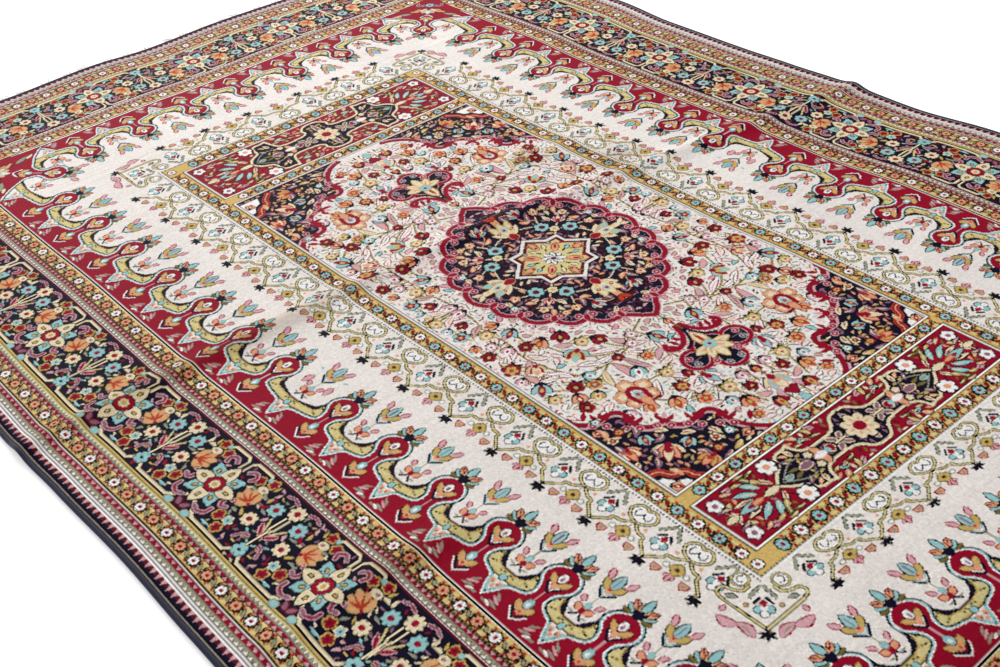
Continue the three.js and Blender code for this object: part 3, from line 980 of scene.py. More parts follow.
BLUE = ("light_blue", "white", "crimson")
BLUE_RED = ("light_blue", "crimson", "gold")
RED = ("crimson", "dark_red", "gold")
RED_GOLD = ("crimson", "gold", "orange")
GOLD = ("gold", "cream", "orange")
PEACH = ("peach", "orange", "gold")
PEACH_RED = ("peach", "crimson", "cream")
PALE = ("pink", "white", "crimson")


def scalloped(cusps, bulges):
    """An outline of arcs between the cusps, each pushed out to its left by its bulge times its chord."""
    made = []
    for start, end, bulge in zip(cusps, cusps[1:], bulges):
        start, end = np.array(start, float), np.array(end, float)
        chord = end - start
        out = np.array((chord[1], -chord[0])) * bulge
        for t in np.arange(9) / 9:
            made.append(start + chord * t + out * math.sin(math.pi * t) ** 0.75)
    return made + [np.array(cusps[-1], float)]


def quarters(frame):
    """The frame in its four mirror images: right or left, up or down."""
    for up in (1, -1):
        for across in (1, -1):
            yield Frame(*frame.middle, frame.axes[0] * across, frame.axes[1] * up)


def curl(frame, u, v, size=1, yarn="pink"):
    """A curled end of a scalloped band: a pale ring with a red middle."""
    each(oval, frame, (u, v, 4.6 * size, 4.6 * size, yarn), (u, v, 3.5 * size, 3.5 * size, "crimson"),
         (u, v, 1.5 * size, 1.5 * size, yarn))


def flower(frame, u, v, size, yarns, turn=0):
    """A small field flower: petals, a second colour and a heart, with a dark foot and two leaves."""
    spot = frame.move(u, v, turn)
    for flip in (-1, 1):
        each(leaf, spot, (-size * 0.9, 0, flip * 2.2, size, size * 0.42, "black"),
             (-size * 0.8, 0, flip * 1.45, size * 1.8, size * 0.5, "cream", "olive"))
    petals(spot.move(-0.4, -0.5), 5, size * 0.72 + 0.7, size * 1.1 + 0.7, "black")
    each(petals, spot, (5, size * 0.72, size * 1.1, yarns[0]),
         (5, size * 0.4, size * 0.75, yarns[1], 0.6))
    oval(spot, 0, 0, size * 0.28, size * 0.28, yarns[2])


def bud(frame, u, v, size, yarns, turn=0):
    """A flower from the side: two outer petals, a bright middle and a dark cup."""
    spot = frame.move(u, v, turn)
    for flip in (-1, 1):
        leaf(spot, -size * 0.8, 0, flip * 0.6, size * 2, size * 0.9, yarns[0], edge="black")
    leaf(spot, -size * 0.7, 0, 0, size * 2.2, size * 0.95, yarns[1], edge=yarns[0])
    oval(spot, size * 0.25, 0, size * 0.36, size * 0.24, yarns[2])
    leaf(spot, -size * 1.4, 0, 0, size, size * 0.7, "navy")
    for flip in (-1, 1):
        leaf(spot, -size * 1.2, 0, flip * 0.95, size * 1.2, size * 0.36, "black")


def fan(frame, u, v, size, yarns, turn=0):
    """An open fan of petals round a bright middle."""
    spot = frame.move(u, v, turn)
    for number in (-2, 2, -1, 1, 0):
        leaf(spot, -size * 0.9, 0, number * 0.52, size * (2.5 - 0.25 * abs(number)), size * 0.95,
             yarns[abs(number) % 2], edge="black" if abs(number) == 2 else yarns[2])
    each(oval, spot, (-size * 0.1, 0, size * 0.42, size * 0.42, yarns[2]),
         (-size * 0.8, 0, size * 0.5, size * 0.4, "crimson"))


def draw_star(frame):
    """The eight-pointed star in the middle of the medallion."""
    for grow, yarn in ((3.2, "black"), (2.2, "ivory"), (-1.2, "black"), (-1.9, "dark_red"), (-4.2, "peach"),
                       (-5.2, "straw")):
        wide, tall = 30 + grow, 28 + grow
        patch(frame, [(-wide, -tall), (wide, -tall), (wide, tall), (-wide, tall)], yarn)
        wide, tall = 47 + 1.45 * grow, 43 + 1.45 * grow
        patch(frame, [(-wide, 0), (0, -tall), (wide, 0), (0, tall)], yarn)
    for part in quarters(frame):
        each(leaf, part, (9, 8, 0.78, 17, 6.5, "peach", "crimson"), (13, 12, 0.78, 9, 2.6, "crimson"),
             (24, 0, 0, 15, 6, "peach", "dark_red"), (0, 21, math.pi / 2, 15, 6, "peach", "dark_red"),
             (30, 3, 0.5, 8, 2.2, "olive"), (3, 30, 1, 8, 2.2, "olive"), (14, 3, 0.4, 9, 2.2, "black"),
             (3, 13, 1.1, 9, 2.2, "black"), (20, 4, 0.5, 9, 3.4, "light_blue", "brown"),
             (5, 18, 1.1, 9, 3.4, "cream", "brown"), (22, 16, 0.1, 7, 3.2, "crimson"),
             (15, 21, 1.4, 7, 3.2, "sage", "brown"))
        each(oval, part, (27, 0, 1.6, 1.6, "crimson"), (0, 25, 1.6, 1.6, "crimson"))
    for turn in range(8):
        each(leaf, frame, (0, 0, turn * math.pi / 4 + 0.2, 12, 5.2, "white", "black"),
             (0, 0, turn * math.pi / 4 + 0.2, 8, 2.4, "light_blue" if turn % 2 else "pink"))
    each(oval, frame, (0, 0, 2.6, 2.6, "black"), (0, 0, 1.4, 1.4, "crimson"))


def draw_medallion():
    """The navy medallion in its scalloped crimson band."""
    frame = Frame(0, MEDALLION_Y)
    edge = scalloped(MEDALLION_CUSPS, [0.26] * 5) + [(14.5, 121), (10, 127), MEDALLION_TIP]
    for part in quarters(frame):
        patch(part, [(0, -19), *[tuple(p) for p in edge]], "navy")
    for width, yarn in ((7.4, "pink"), (5.2, "dark_red"), (4, "crimson")):
        for part in quarters(frame):
            line(part, edge, width, yarn, smooth=False)
    for part in quarters(frame):
        for u, v in MEDALLION_CUSPS[1:]:
            inward = math.atan2(-v, -u)
            spot = part.move(u, v, inward)
            leaf(spot, -4, 0, 0, 11, 6, "crimson", edge="pink")
            for flip in (-1, 1):
                line(spot, [(2, flip * 5), (6, flip * 12), (3, flip * 15)], 1, "mauve")
                curl(spot, 5, flip * 6.6, 0.9)
        each(line, part, ([(28, 27), (37, 36), (47, 45)], 1.9, "cream"),
             ([(38, 36), (31, 50), (36, 64), (42, 73)], 1.4, "cream"),
             ([(40, 37), (52, 31), (62, 30), (72, 25)], 1.4, "cream"),
             ([(31, 52), (20, 60), (6, 64)], 1.4, "cream"), ([(52, 30), (58, 18), (62, 6)], 1.4, "cream"),
             ([(36, 64), (24, 74), (23, 85), (10, 90)], 1.2, "peach"),
             ([(70, 26), (80, 20), (86, 8)], 1.2, "mauve"))
        for u, v, turn, length, yarn in MEDALLION_LEAVES:
            each(leaf, part,
                 (u, v, turn, length, 5.4, yarn, "dark_red" if yarn == "peach" else None, 1.2),
                 (u, v, turn, length * 0.75, 1.3, "crimson" if yarn == "cream" else "cream", None, 1.2))
        each(bud, part, (72, 25, 4.6, ("peach", "cream", "crimson"), 0.6),
             (42, 74, 4.6, ("peach", "cream", "crimson"), 1.2))
        fan(part, 24, 85, 5.2, ("light_blue", "cream", "crimson"), turn=2)
        each(flower, part, (66, 57, 4.2, ("cream", "peach", "crimson"), 0.8),
             (55, 75, 3.6, ("peach", "cream", "crimson"), 1),
             (84, 37, 3.4, ("light_blue", "white", "crimson"), 0.3))
        fan(part, 53, 50, 4.4, ("cream", "pink", "crimson"), turn=0.78)
        for u, v, yarn in ((31, 50, "light_blue"), (52, 31, "light_blue"), (38, 39, "cream")):
            rosette(part, u, v, 8 if yarn == "light_blue" else 5.2, yarn, edge="black", count=6,
                    heart="dark_red" if yarn == "light_blue" else "gold")
    for turn in (0, math.pi, math.pi / 2, -math.pi / 2):
        spot = frame.move(PALMETTE_REACH * round(math.cos(turn)), PALMETTE_REACH * round(math.sin(turn)),
                          turn)
        upright = abs(math.sin(turn)) > 0.5
        leaf(spot, 10, 0, 0, 22, 7, "peach" if upright else "cream", edge="dark_red")
        for flip in (-1, 1):
            each(leaf, spot, (-6, 0, flip * 0.9, 20, 9, "cream", "black"),
                 (-6, 0, flip * 0.45, 25, 9, "cream" if upright else "light_blue", "gold"),
                 (-4, 0, flip * 0.5, 14, 3.2, "peach"))
            curl(spot, 4, flip * 8.5, 0.6, "cream")
            leaf(spot, 23, 0, flip * 0.55, 12, 5, "orange" if upright else "cream", edge="dark_red")
        each(leaf, spot, (-8, 0, 0, 26, 10, "cream", "gold"), (-15, 0, 0, 13, 9, "crimson", "peach"))
        each(oval, spot, (6, 0, 4.2, 3.2, "light_blue"), (6, 0, 2, 1.6, "crimson"))
    fill_gaps(list(quarters(frame)), (0, 100), (0, 120), "navy",
              ("mauve", "cream", "pink", "peach"), 8, 8)
    fill_gaps(list(quarters(frame)), (0, 104), (0, 126), "navy",
              ("mauve", "dark_red", "dark_red"), 5.4, 5.6)
    draw_star(frame)


def draw_pendant(frame):
    """A navy and crimson pendant beyond the tip of the medallion; v runs away from it."""
    lobes = ((0, 25, 11.5), (25, 8, 11.5), (-25, 8, 11.5), (0, 4, 17))
    for half in halves(frame):
        for width, yarn in ((6.6, "pink"), (5, "crimson")):
            line(half, [(3, -38), (7, -26), (16, -16), (27, -14), (33, -19), (30, -25)], width, yarn)
        each(leaf, half, (12, -20, -0.9, 11, 4.4, "crimson"), (20, -17, -1.3, 11, 4.4, "crimson"),
             (30, -22, 2.4, 9, 4.4, "crimson"))
    for grow, yarn in ((2.4, "pink"), (1.8, "crimson"), (-2.2, "pink"), (-3, "navy")):
        for u, v, radius in lobes:
            oval(frame, u, v, radius + grow + 2, radius + grow + 2, yarn)
    for half in halves(frame):
        line(half, [(0, -36), (3, -24), (10, -12), (18, -8)], 3.2, "navy")
        each(curl, half, (29, 13, 0.8, "light_blue"), (30, 3, 0.8), (7, 30, 0.8, "light_blue"),
             (14, 21, 0.8))
        line(half, [(20, 8), (27, 8), (32, 8)], 0.9, "mauve")
        for turn, length in ((0.1, 19), (0.9, 18)):
            each(leaf, half, (2, 2, turn, length, 8, "cream", "gold"),
                 (2, 2, turn, length * 0.7, 2.2, "peach"))
    each(leaf, frame, (0, -22, math.pi / 2, 26, 11, "cream", "gold"),
         (0, 4, math.pi / 2, 20, 8, "cream", "gold"), (0, -2, -math.pi / 2, 18, 4, "orange"))
    each(petals, frame, (6, 5.6, 7.6, "gold"), (6, 4.6, 6.6, "light_blue"))
    oval(frame, 0, 0, 1.8, 1.8, "crimson")


def draw_corner_piece(part):
    """A navy corner of the field, behind a scalloped crimson edge."""
    edge = [tuple(p) for p in scalloped(CORNER_EDGE, CORNER_BULGES)]
    patch(part, edge + [(30, 318), (170, 318), (170, 178)], "navy")
    each(line, part, ([(u + 3, v + 3) for u, v in edge], 2.6, "pink", False),
         (edge, 5.2, "dark_red", False), (edge, 3.9, "crimson", False))
    for number, (u, v) in enumerate(CORNER_EDGE[1:-1]):
        spot = part.move(u, v, math.pi * 1.25)
        for flip in (-1, 1):
            leaf(spot, 0, 0, flip * 0.75, 12, 4.6, "crimson", bend=flip * 1.5)
        leaf(spot, 2, 0, 0, 9, 4.2, "crimson" if number != 2 else "pink")
        for flip in (-1, 1):
            curl(spot, -6.5, flip * 5.6, 0.85)
    for u, v in ((152, 196), (54, 289)):
        leaf(part, u, v, math.pi * 1.25, 12, 5, "crimson")
    band = [(166, 277), (153, 280), (147, 290), (137, 294), (134, 303), (124, 313)]
    each(line, part, (band, 7, "orange"), (band, 4.6, "crimson"), (band, 1.4, "peach"))
    patch(part, [(163, 286), (155, 288), (150, 297), (142, 301), (138, 312), (163, 312)], "white")
    bud(part, 154, 301, 4.4, PEACH_RED, turn=2.3)
    for u, v, turn, size, kind, yarns in CORNER_FLOWERS:
        kind(part, u, v, size, yarns, turn=turn)
    for u, v, turn, yarn in CORNER_LEAVES:
        each(leaf, part, (u, v, turn, 13, 5.6, yarn, None, 1.4),
             (u, v, turn, 9, 1.4, "crimson" if yarn == "cream" else "cream", None, 1.4))


CORNER_LEAVES = [  # u, v, turn, yarn
    (150, 214, 1.2, "peach"), (137, 258, 1.4, "mauve"), (117, 252, 0.2, "mauve"),
    (107, 262, 2.6, "cream"), (112, 284, 2, "mauve"), (86, 272, 1.8, "cream"), (78, 300, 0.3, "gold"),
    (144, 284, 1.8, "peach"), (155, 262, 0.3, "cream"), (128, 230, 0.9, "mauve"),
    (120, 244, 2.4, "cream"), (60, 304, 0.5, "cream"), (156, 236, 1.5, "mauve"),
    (92, 303, 0.2, "mauve"), (142, 268, 0.9, "mauve"),
]
CORNER_FLOWERS = [  # u, v from the middle of the medallion, turn, size, kind, yarns
    (129, 269, 0.8, 8, fan, ("cream", "peach", "crimson")), (132, 246, 1.2, 5.6, bud, BLUE_RED),
    (108, 272, 0.4, 5.6, bud, BLUE_RED), (153, 250, 1.4, 6.4, fan, ("peach", "cream", "orange")),
    (112, 297, 0.2, 6.4, fan, ("peach", "gold", "orange")), (141, 226, 0.6, 4.2, flower, RED_GOLD),
    (152, 230, 1, 4.4, flower, ("cream", "crimson", "gold")),
    (90, 284, 0.3, 4.4, flower, ("cream", "crimson", "gold")), (98, 294, 0.9, 4.2, flower, RED_GOLD),
    (66, 298, 0, 4.6, bud, PEACH_RED), (76, 286, 0.3, 3.8, flower, BLUE),
    (154, 214, 1.5, 4.2, bud, PEACH_RED), (146, 204, 1.3, 3.4, flower, BLUE),
]
FIELD_FLOWERS = [  # u, v from the middle of the medallion, turn, size, kind, yarns
    (148, 104, 0.4, 8, flower, RED_GOLD), (147, 141, 0.9, 7.6, bud, BLUE_RED),
    (125, 160, 0.7, 7, flower, RED), (111, 168, 0.5, 6.4, flower, ("gold", "orange", "light_blue")),
    (106, 156, 2, 5.4, bud, BLUE), (133, 172, 1.2, 6, bud, PEACH_RED), (104, 92, 0.5, 7.2, bud, PEACH),
    (117, 88, 0.2, 6.4, flower, RED), (84, 97, 0.8, 7, bud, RED), (76, 117, 1.3, 6.2, flower, GOLD),
    (63, 124, 1.9, 6.4, bud, RED), (93, 127, 0.7, 7, fan, BLUE_RED), (72, 181, 1.1, 6.6, bud, BLUE),
    (50, 172, 1.6, 5.8, flower, PEACH), (24, 157, 1.9, 7, bud, BLUE_RED), (99, 221, 1.2, 5.8, bud, PEACH),
    (61, 222, 1.5, 6.4, flower, RED_GOLD), (79, 232, 1.2, 6.8, bud, PEACH),
    (35, 229, 1.8, 6.8, fan, BLUE), (59, 246, 1.3, 6.8, flower, PEACH), (34, 250, 1.7, 6.8, flower, GOLD),
    (20, 262, 1.7, 5.6, flower, RED), (37, 273, 1.4, 6.6, bud, PEACH), (19, 291, 1.6, 6, bud, RED_GOLD),
    (150, 76, 0.3, 6.2, flower, RED), (112, 62, 0.5, 6.4, bud, BLUE_RED),
    (130, 50, 0.2, 6.6, flower, GOLD), (116, 42, 5.9, 5.6, bud, PEACH),
    (148, 36, 0.1, 7, flower, BLUE_RED), (150, 4, 1.57, 6.4, flower, GOLD), (124, 6, 0, 6, bud, PALE),
    (137, 186, 1.3, 6.2, flower, RED), (119, 180, 0.9, 5.6, bud, GOLD), (152, 122, 0.6, 5, bud, PALE),
    (132, 118, 1, 5.6, fan, PEACH_RED), (118, 216, 1.6, 5.2, bud, PALE), (70, 155, 1.2, 4.6, bud, RED),
    (47, 150, 2, 5.4, flower, PALE), (92, 66, 0.4, 4.8, bud, PALE), (131, 80, 0.6, 5.6, bud, PALE),
    (56, 200, 1.5, 6, flower, GOLD), (15, 246, 1.6, 5, bud, PALE), (138, 66, 0.1, 5.2, flower, PALE),
    (46, 262, 1.6, 4.8, bud, BLUE), (38, 140, 2.2, 5.2, flower, PALE), (149, 160, 1.1, 5.4, flower, GOLD),
    (150, 58, 1, 4.6, bud, PEACH), (135, 22, 0.3, 5.2, bud, RED), (44, 290, 1.6, 5.2, flower, PEACH),
    (150, 20, 0.5, 4.4, bud, BLUE), (70, 262, 1.2, 4.6, flower, RED), (85, 214, 1.9, 5, flower, RED),
    (44, 212, 1.8, 4.8, bud, RED),
]
FIELD_STEMS = [
    [(16, 130), (33, 138), (53, 151), (82, 156), (112, 150), (136, 130), (150, 108)],
    [(53, 151), (74, 146), (92, 130), (100, 112), (104, 96)],
    [(82, 156), (100, 164), (124, 164), (146, 146)],
    [(33, 138), (28, 158), (34, 180), (52, 196), (84, 196)],
    [(34, 180), (32, 214), (42, 236), (34, 256), (26, 284)], [(52, 196), (60, 220), (58, 244)],
    [(84, 196), (92, 212), (80, 230)],
    [(112, 150), (122, 128), (128, 98), (124, 70), (130, 48), (148, 38)],
    [(128, 98), (114, 84), (110, 66)], [(130, 48), (122, 26), (124, 4), (150, 2)],
    [(82, 156), (74, 168), (72, 180)], [(124, 70), (140, 72), (152, 78)], [(8, 240), (10, 268), (8, 300)],
    [(53, 151), (62, 136), (66, 124)],
]
FEATHERS = [  # u, v, turn, length, yarn, edge
    (62, 156, 2.3, 26, "white", "crimson"), (68, 158, 1.9, 30, "pink", "olive"),
    (80, 159, 1.55, 27, "pink", "crimson"), (92, 160, 1.2, 24, "cream", "olive"),
    (56, 150, 2.8, 22, "ivory", "crimson"), (60, 148, -0.5, 26, "white", "crimson"),
    (72, 150, -0.2, 24, "white", "black"), (86, 152, -0.6, 22, "white", "crimson"),
    (46, 146, -1, 18, "pink", "olive"), (34, 144, 0.2, 18, "ivory", "crimson"),
    (30, 160, 1.3, 20, "white", "crimson"), (32, 172, 0.6, 20, "pink", "olive"),
    (36, 186, 0.1, 16, "ivory", "crimson"), (34, 196, 1.5, 20, "cream", "olive"),
    (58, 204, 2.2, 18, "white", "crimson"), (70, 200, 1, 22, "white", "black"),
    (104, 152, 0.7, 16, "pink", "olive"), (116, 148, -0.9, 24, "white", "crimson"),
    (124, 138, -0.3, 22, "white", "black"), (136, 128, 0.4, 16, "white", "crimson"),
    (128, 104, 0.7, 20, "pink", "olive"), (124, 98, 2.2, 20, "ivory", "crimson"),
    (126, 76, 1, 22, "white", "crimson"), (124, 66, -2.4, 18, "pink", "olive"),
    (128, 52, 1.2, 18, "ivory", "crimson"), (122, 34, 0.5, 20, "pink", "olive"),
    (122, 20, -0.5, 20, "white", "crimson"), (132, 6, 0.6, 18, "ivory", "crimson"),
    (108, 84, 2.5, 18, "white", "crimson"), (98, 104, 2.6, 18, "pink", "olive"),
    (38, 222, 0.4, 18, "white", "crimson"), (42, 240, 0.9, 18, "white", "black"),
    (34, 262, 0.8, 18, "white", "crimson"), (26, 272, 2.6, 14, "pink", "olive"),
    (60, 232, 0.4, 16, "white", "crimson"), (100, 206, 1.2, 18, "white", "black"),
    (146, 118, 1.7, 18, "pink", "olive"), (140, 86, 0.9, 16, "white", "crimson"),
    (10, 262, 1.2, 16, "white", "crimson"), (118, 196, 0.6, 16, "white", "crimson"),
    (12, 238, 1.5, 16, "pink", "olive"), (8, 280, 1.3, 16, "pink", "crimson"),
]


def stem(part, points):
    """A thin olive stem with a dark side."""
    each(line, part, (points, 2.2, "olive"),
         ([(u + 0.6, v - 0.6) for u, v in points], 1, "black", True, 5),
         ([(u - 0.5, v + 0.5) for u, v in points], 0.8, "gold"))


def draw_big_spray(part):
    """The large three-lobed flower between the medallion and the corner."""
    for u, v, turn in ((83, 197, 2.5), (107, 197, 0.6), (95, 188, 1.57), (86, 209, 2.2), (104, 209, 0.9)):
        each(petals, part, (5, 6.6, 8.6, "black", turn, u, v), (5, 5.9, 7.9, "peach", turn, u, v),
             (5, 2.4, 4.4, "cream", turn, u, v))
    line(part, [(89, 212), (88, 200), (95, 193), (102, 200), (101, 212)], 4.6, "crimson")
    each(oval, part, (95, 203, 3.8, 5, "light_blue"), (95, 203, 1.8, 2.6, "orange"))
    leaf(part, 95, 207, 1.57, 15, 8, "peach", edge="crimson")


def draw_field():
    """The ivory field with its medallion, pendants, corners and sprays, four times mirrored."""
    middle = Frame(0, MEDALLION_Y)
    for part in quarters(middle):
        for points in FIELD_STEMS:
            stem(part, points)
        for number, (u, v, turn, length, yarn, edge) in enumerate(FEATHERS):
            bend = (1.8, -1.8)[number % 2]
            each(leaf, part, (u, v, turn, length, 6, yarn, edge, bend),
                 (u, v, turn, length * 0.8, 1.3, ("peach", "olive", "pink")[number % 3], None, bend))
        for u, v, turn, size, kind, yarns in FIELD_FLOWERS:
            kind(part, u, v, size, yarns, turn=turn)
        draw_big_spray(part)
        draw_corner_piece(part)
    parts = list(quarters(middle))
    fill_gaps(parts, (0, 160), (0, 310), "ivory",
              (("white", "crimson"), ("pink", "olive"), ("ivory", "crimson"), ("light_blue", "black"),
               ("pink", "crimson"), ("white", "olive")), 9, 10)
    fill_gaps(parts, (0, 160), (0, 312), "ivory",
              ("pink", "crimson", "sage", "peach", "light_blue", "olive", "black"), 5, 5)
    fill_gaps(parts, (36, 160), (184, 318), "navy", ("mauve", "cream", "peach", "gold", "mauve"), 4.9, 6.4)
    draw_medallion()
    for up in (1, -1):
        draw_pendant(Frame(0, MEDALLION_Y, (1, 0), (0, up)).move(0, 198))
        draw_middle_line(Frame(0, MEDALLION_Y, (1, 0), (0, up)))


def draw_middle_line(frame):
    """What stands on the middle line between the medallion, the pendant and the end."""
    each(line, frame, ([(0, 138), (0, 166)], 2.2, "olive", False),
         ([(0, 238), (0, 262)], 1.6, "olive", False))
    bud(frame, 0, 149, 4.2, PEACH_RED, turn=math.pi / 2)
    fan(frame, 0, 272, 8.4, ("cream", "light_blue", "peach"), turn=math.pi / 2)
    trefoil(frame, 0, 288, math.pi / 2, 5.4, "crimson", edge="dark_red")
    leaf(frame, 0, 296, math.pi / 2, 14, 7, "light_blue", edge="sage")
    bud(frame, 0, 249, 4.4, RED_GOLD, turn=math.pi / 2)


def fill_gaps(parts, across, up, ground, looks, step, long):
    """Leaves on whatever of the ground is still bare, the same in every frame of parts.

    Each of the looks is a yarn, or a yarn and the yarn of its edge."""
    draw = random.Random(4)
    clear = 0.34 * long
    for v in np.arange(up[0] + step / 2, up[1], step):
        for u in np.arange(across[0] + step / 2, across[1], step):
            place = (u + draw.uniform(-0.3, 0.3) * step, v + draw.uniform(-0.3, 0.3) * step)
            turn = draw.uniform(0, 2 * math.pi)
            look = looks[draw.randrange(len(looks))]
            yarn, edge = look if isinstance(look, tuple) else (look, None)
            length = draw.uniform(0.85, 1.15) * long
            low, high = np.array(place) - clear, np.array(place) + clear
            knots = parts[0].window(low, high)[2]
            if knots.size and (knots == INK[ground]).all():
                for part in parts:
                    leaf(part.move(*place, turn), -length / 2, 0, 0, length, 0.4 * length, yarn, edge=edge,
                         bend=0.12 * length)


def draw_pattern():
    """The whole chart, from the outer stripes to the field."""
    draw_stripes()
    draw_frame()
    gold_stripe(172.4, FRAME_PITCH, 4.5, ("white", "light_blue"))
    gold_stripe(349.4, 19.4, 4.6, ("white", "peach"))
    gold_stripe(465, 20, 4.5, ("peach", "white"))
    draw_border()
    draw_scallops()
    draw_arabesque()
    framed = CHART.copy()
    draw_field()
    across = np.abs(CHART_X) < FIELD["half_width"]
    along = (CHART_Y > FIELD["near"]) & (CHART_Y < FIELD["far"])
    beyond = ~(along[:, None] & across[None, :])
    CHART[beyond] = framed[beyond]
    for bottom, top in (NEAR_PANEL, FAR_PANEL):
        panel((bottom + top) / 2, top - bottom)


# Making meshes
def to_linear(colour):
    """A screen colour as the linear one that shaders take."""
    colour = np.asarray(colour, float)
    return np.where(colour <= 0.04045, colour / 12.92, ((colour + 0.055) / 1.055) ** 2.4)


def make_object(name, points, faces, material, smooth=True):
    """An object from arrays: points in metres, and faces that all have the same number of corners."""
    mesh = bpy.data.meshes.new(name)
    faces = np.asarray(faces, np.int32)
    mesh.vertices.add(len(points))
    mesh.vertices.foreach_set("co", np.asarray(points, np.float32).ravel())
    mesh.loops.add(faces.size)
    mesh.loops.foreach_set("vertex_index", faces.ravel())
    mesh.polygons.add(len(faces))
    mesh.polygons.foreach_set("loop_start", np.arange(len(faces), dtype=np.int32) * faces.shape[1])
    mesh.polygons.foreach_set("use_smooth", np.full(len(faces), smooth))
    mesh.update(calc_edges=True)
    mesh.validate()
    mesh.materials.append(material)
    made = bpy.data.objects.new(name, mesh)
    bpy.context.collection.objects.link(made)
    return made


def grid_faces(rows, columns):
    """Four-cornered faces of a grid of points, rows by columns, stored row by row."""
    corner = (np.arange(rows - 1)[:, None] * columns + np.arange(columns - 1)[None, :]).ravel()
    return np.stack((corner, corner + 1, corner + 1 + columns, corner + columns), axis=1)


# Materials
class Nodes:
    """A node material with its main shader, and short ways to add to it."""

    def __init__(self, name, roughness, specular=0.3):
        self.material = bpy.data.materials.new(name)
        self.material.use_nodes = True
        self.tree = self.material.node_tree
        self.shader = self.tree.nodes["Principled BSDF"]
        self.shader.inputs["Roughness"].default_value = roughness
        self.shader.inputs["Specular IOR Level"].default_value = specular
        self.place = self.add("ShaderNodeTexCoord").outputs["Object"]

    def add(self, kind, **settings):
        node = self.tree.nodes.new(kind)
        for key, value in settings.items():
            setattr(node, key, value)
        return node

    def join(self, source, target):
        self.tree.links.new(source, target)

    def noise(self, scale, detail=2.0, stretch=(1.0, 1.0, 1.0)):
        """Noise with scale spots a metre, stretched along the axes."""
        mapping = self.add("ShaderNodeMapping")
        mapping.inputs["Scale"].default_value = stretch
        texture = self.add("ShaderNodeTexNoise")
        texture.inputs["Scale"].default_value = scale
        texture.inputs["Detail"].default_value = detail
        self.join(self.place, mapping.inputs["Vector"])
        self.join(mapping.outputs["Vector"], texture.inputs["Vector"])
        return texture.outputs["Fac"]

    def spread(self, value, low, high, new_low, new_high):
        node = self.add("ShaderNodeMapRange")
        ends = {"From Min": low, "From Max": high, "To Min": new_low, "To Max": new_high}
        for name, number in ends.items():
            node.inputs[name].default_value = number
        self.join(value, node.inputs["Value"])
        return node.outputs["Result"]

    def times(self, colour, amount):
        """A colour made lighter or darker by an amount around one."""
        node = self.add("ShaderNodeVectorMath", operation="SCALE")
        self.join(colour, node.inputs[0])
        self.join(amount, node.inputs["Scale"])
        return node.outputs["Vector"]

    def blend(self, amount, low, high):
        """A mix of two colours, each a plain colour or a socket."""
        node = self.add("ShaderNodeMix", data_type="RGBA")
        self.join(amount, node.inputs["Factor"])
        for socket, colour in ((node.inputs[6], low), (node.inputs[7], high)):
            if isinstance(colour, tuple):
                socket.default_value = (*to_linear(colour), 1.0)
            else:
                self.join(colour, socket)
        return node.outputs[2]

    def bump(self, height, strength, distance):
        node = self.add("ShaderNodeBump")
        node.inputs["Strength"].default_value = strength
        node.inputs["Distance"].default_value = distance
        self.join(height, node.inputs["Height"])
        self.join(node.outputs["Normal"], self.shader.inputs["Normal"])

    def sheen(self, weight, roughness, tint):
        self.shader.inputs["Sheen Weight"].default_value = weight
        self.shader.inputs["Sheen Roughness"].default_value = roughness
        self.shader.inputs["Sheen Tint"].default_value = (*tint, 1.0)


def pile_material():
    """Silky knotted pile: the yarn of each knot, mottled, with soft painted sheen streaks along the nap."""
    look = Nodes("silky_pile", roughness=0.6, specular=0.03)
    yarn = look.add("ShaderNodeAttribute", attribute_name="yarn").outputs["Color"]
    mottle = look.spread(look.noise(900.0, 3.0), 0.3, 0.7, 0.95, 1.04)
    # painted sheen: soft streaks, longer along the rug, where the pile is lighter or darker as the nap
    # catches the light
    sheen_streaks = look.spread(look.noise(14.0, 3.0, (1.0, 0.5, 1.0)), 0.3, 0.7, 0.95, 1.04)
    shade = look.times(look.times(yarn, mottle), sheen_streaks)
    look.join(shade, look.shader.inputs["Base Color"])
    look.bump(look.noise(700.0, 2.0), 0.2, 0.0004)
    look.sheen(0.01, 0.3, (1.0, 0.97, 0.92))
    return look.material


def foundation_material():
    """The plain-woven cotton of the underside."""
    look = Nodes("cotton_foundation", roughness=0.85)
    weave = look.noise(600.0, 2.0, (1.0, 2.4, 1.0))
    look.join(look.blend(look.spread(weave, 0.35, 0.65, 0.0, 1.0), (0.55, 0.50, 0.44), (0.74, 0.69, 0.62)),
              look.shader.inputs["Base Color"])
    look.bump(weave, 0.5, 0.0005)
    return look.material


def yarn_material(name, dark, light, roughness=0.75):
    """Twisted yarn: two shades in fine streaks, with small soft hollows."""
    look = Nodes(name, roughness=roughness, specular=0.25)
    streak = look.noise(1500.0, 3.0)
    broad = look.noise(60.0, 2.0)
    mixed = look.blend(look.spread(streak, 0.35, 0.65, 0.0, 1.0), dark, light)
    look.join(look.times(mixed, look.spread(broad, 0.3, 0.7, 0.85, 1.1)), look.shader.inputs["Base Color"])
    look.bump(streak, 0.4, 0.0003)
    look.sheen(0.25, 0.4, (1.0, 1.0, 1.0))
    return look.material


# The pile
def painted_shade_and_stains():
    """How light the pile is from place to place: painted brown shade along the creases, painted shade in
    small dark patches, and faint stains.
    """
    x = CHART_X[None, :]
    y = CHART_Y[:, None]
    shade = np.ones((len(CHART_Y), len(CHART_X), 3))
    for spot in CREASE_SHADE_AND_STAINS:
        cos, sin = math.cos(spot["turn"]), math.sin(spot["turn"])
        along = ((x - spot["x"]) * cos + (y - spot["y"]) * sin) / spot["long"]
        across = ((y - spot["y"]) * cos - (x - spot["x"]) * sin) / spot["wide"]
        amount = np.exp(-(along ** 2 + across ** 2))[:, :, None] * spot["depth"]
        shade = shade * (1 - amount * (1 - np.array(spot["tone"])))
    return shade


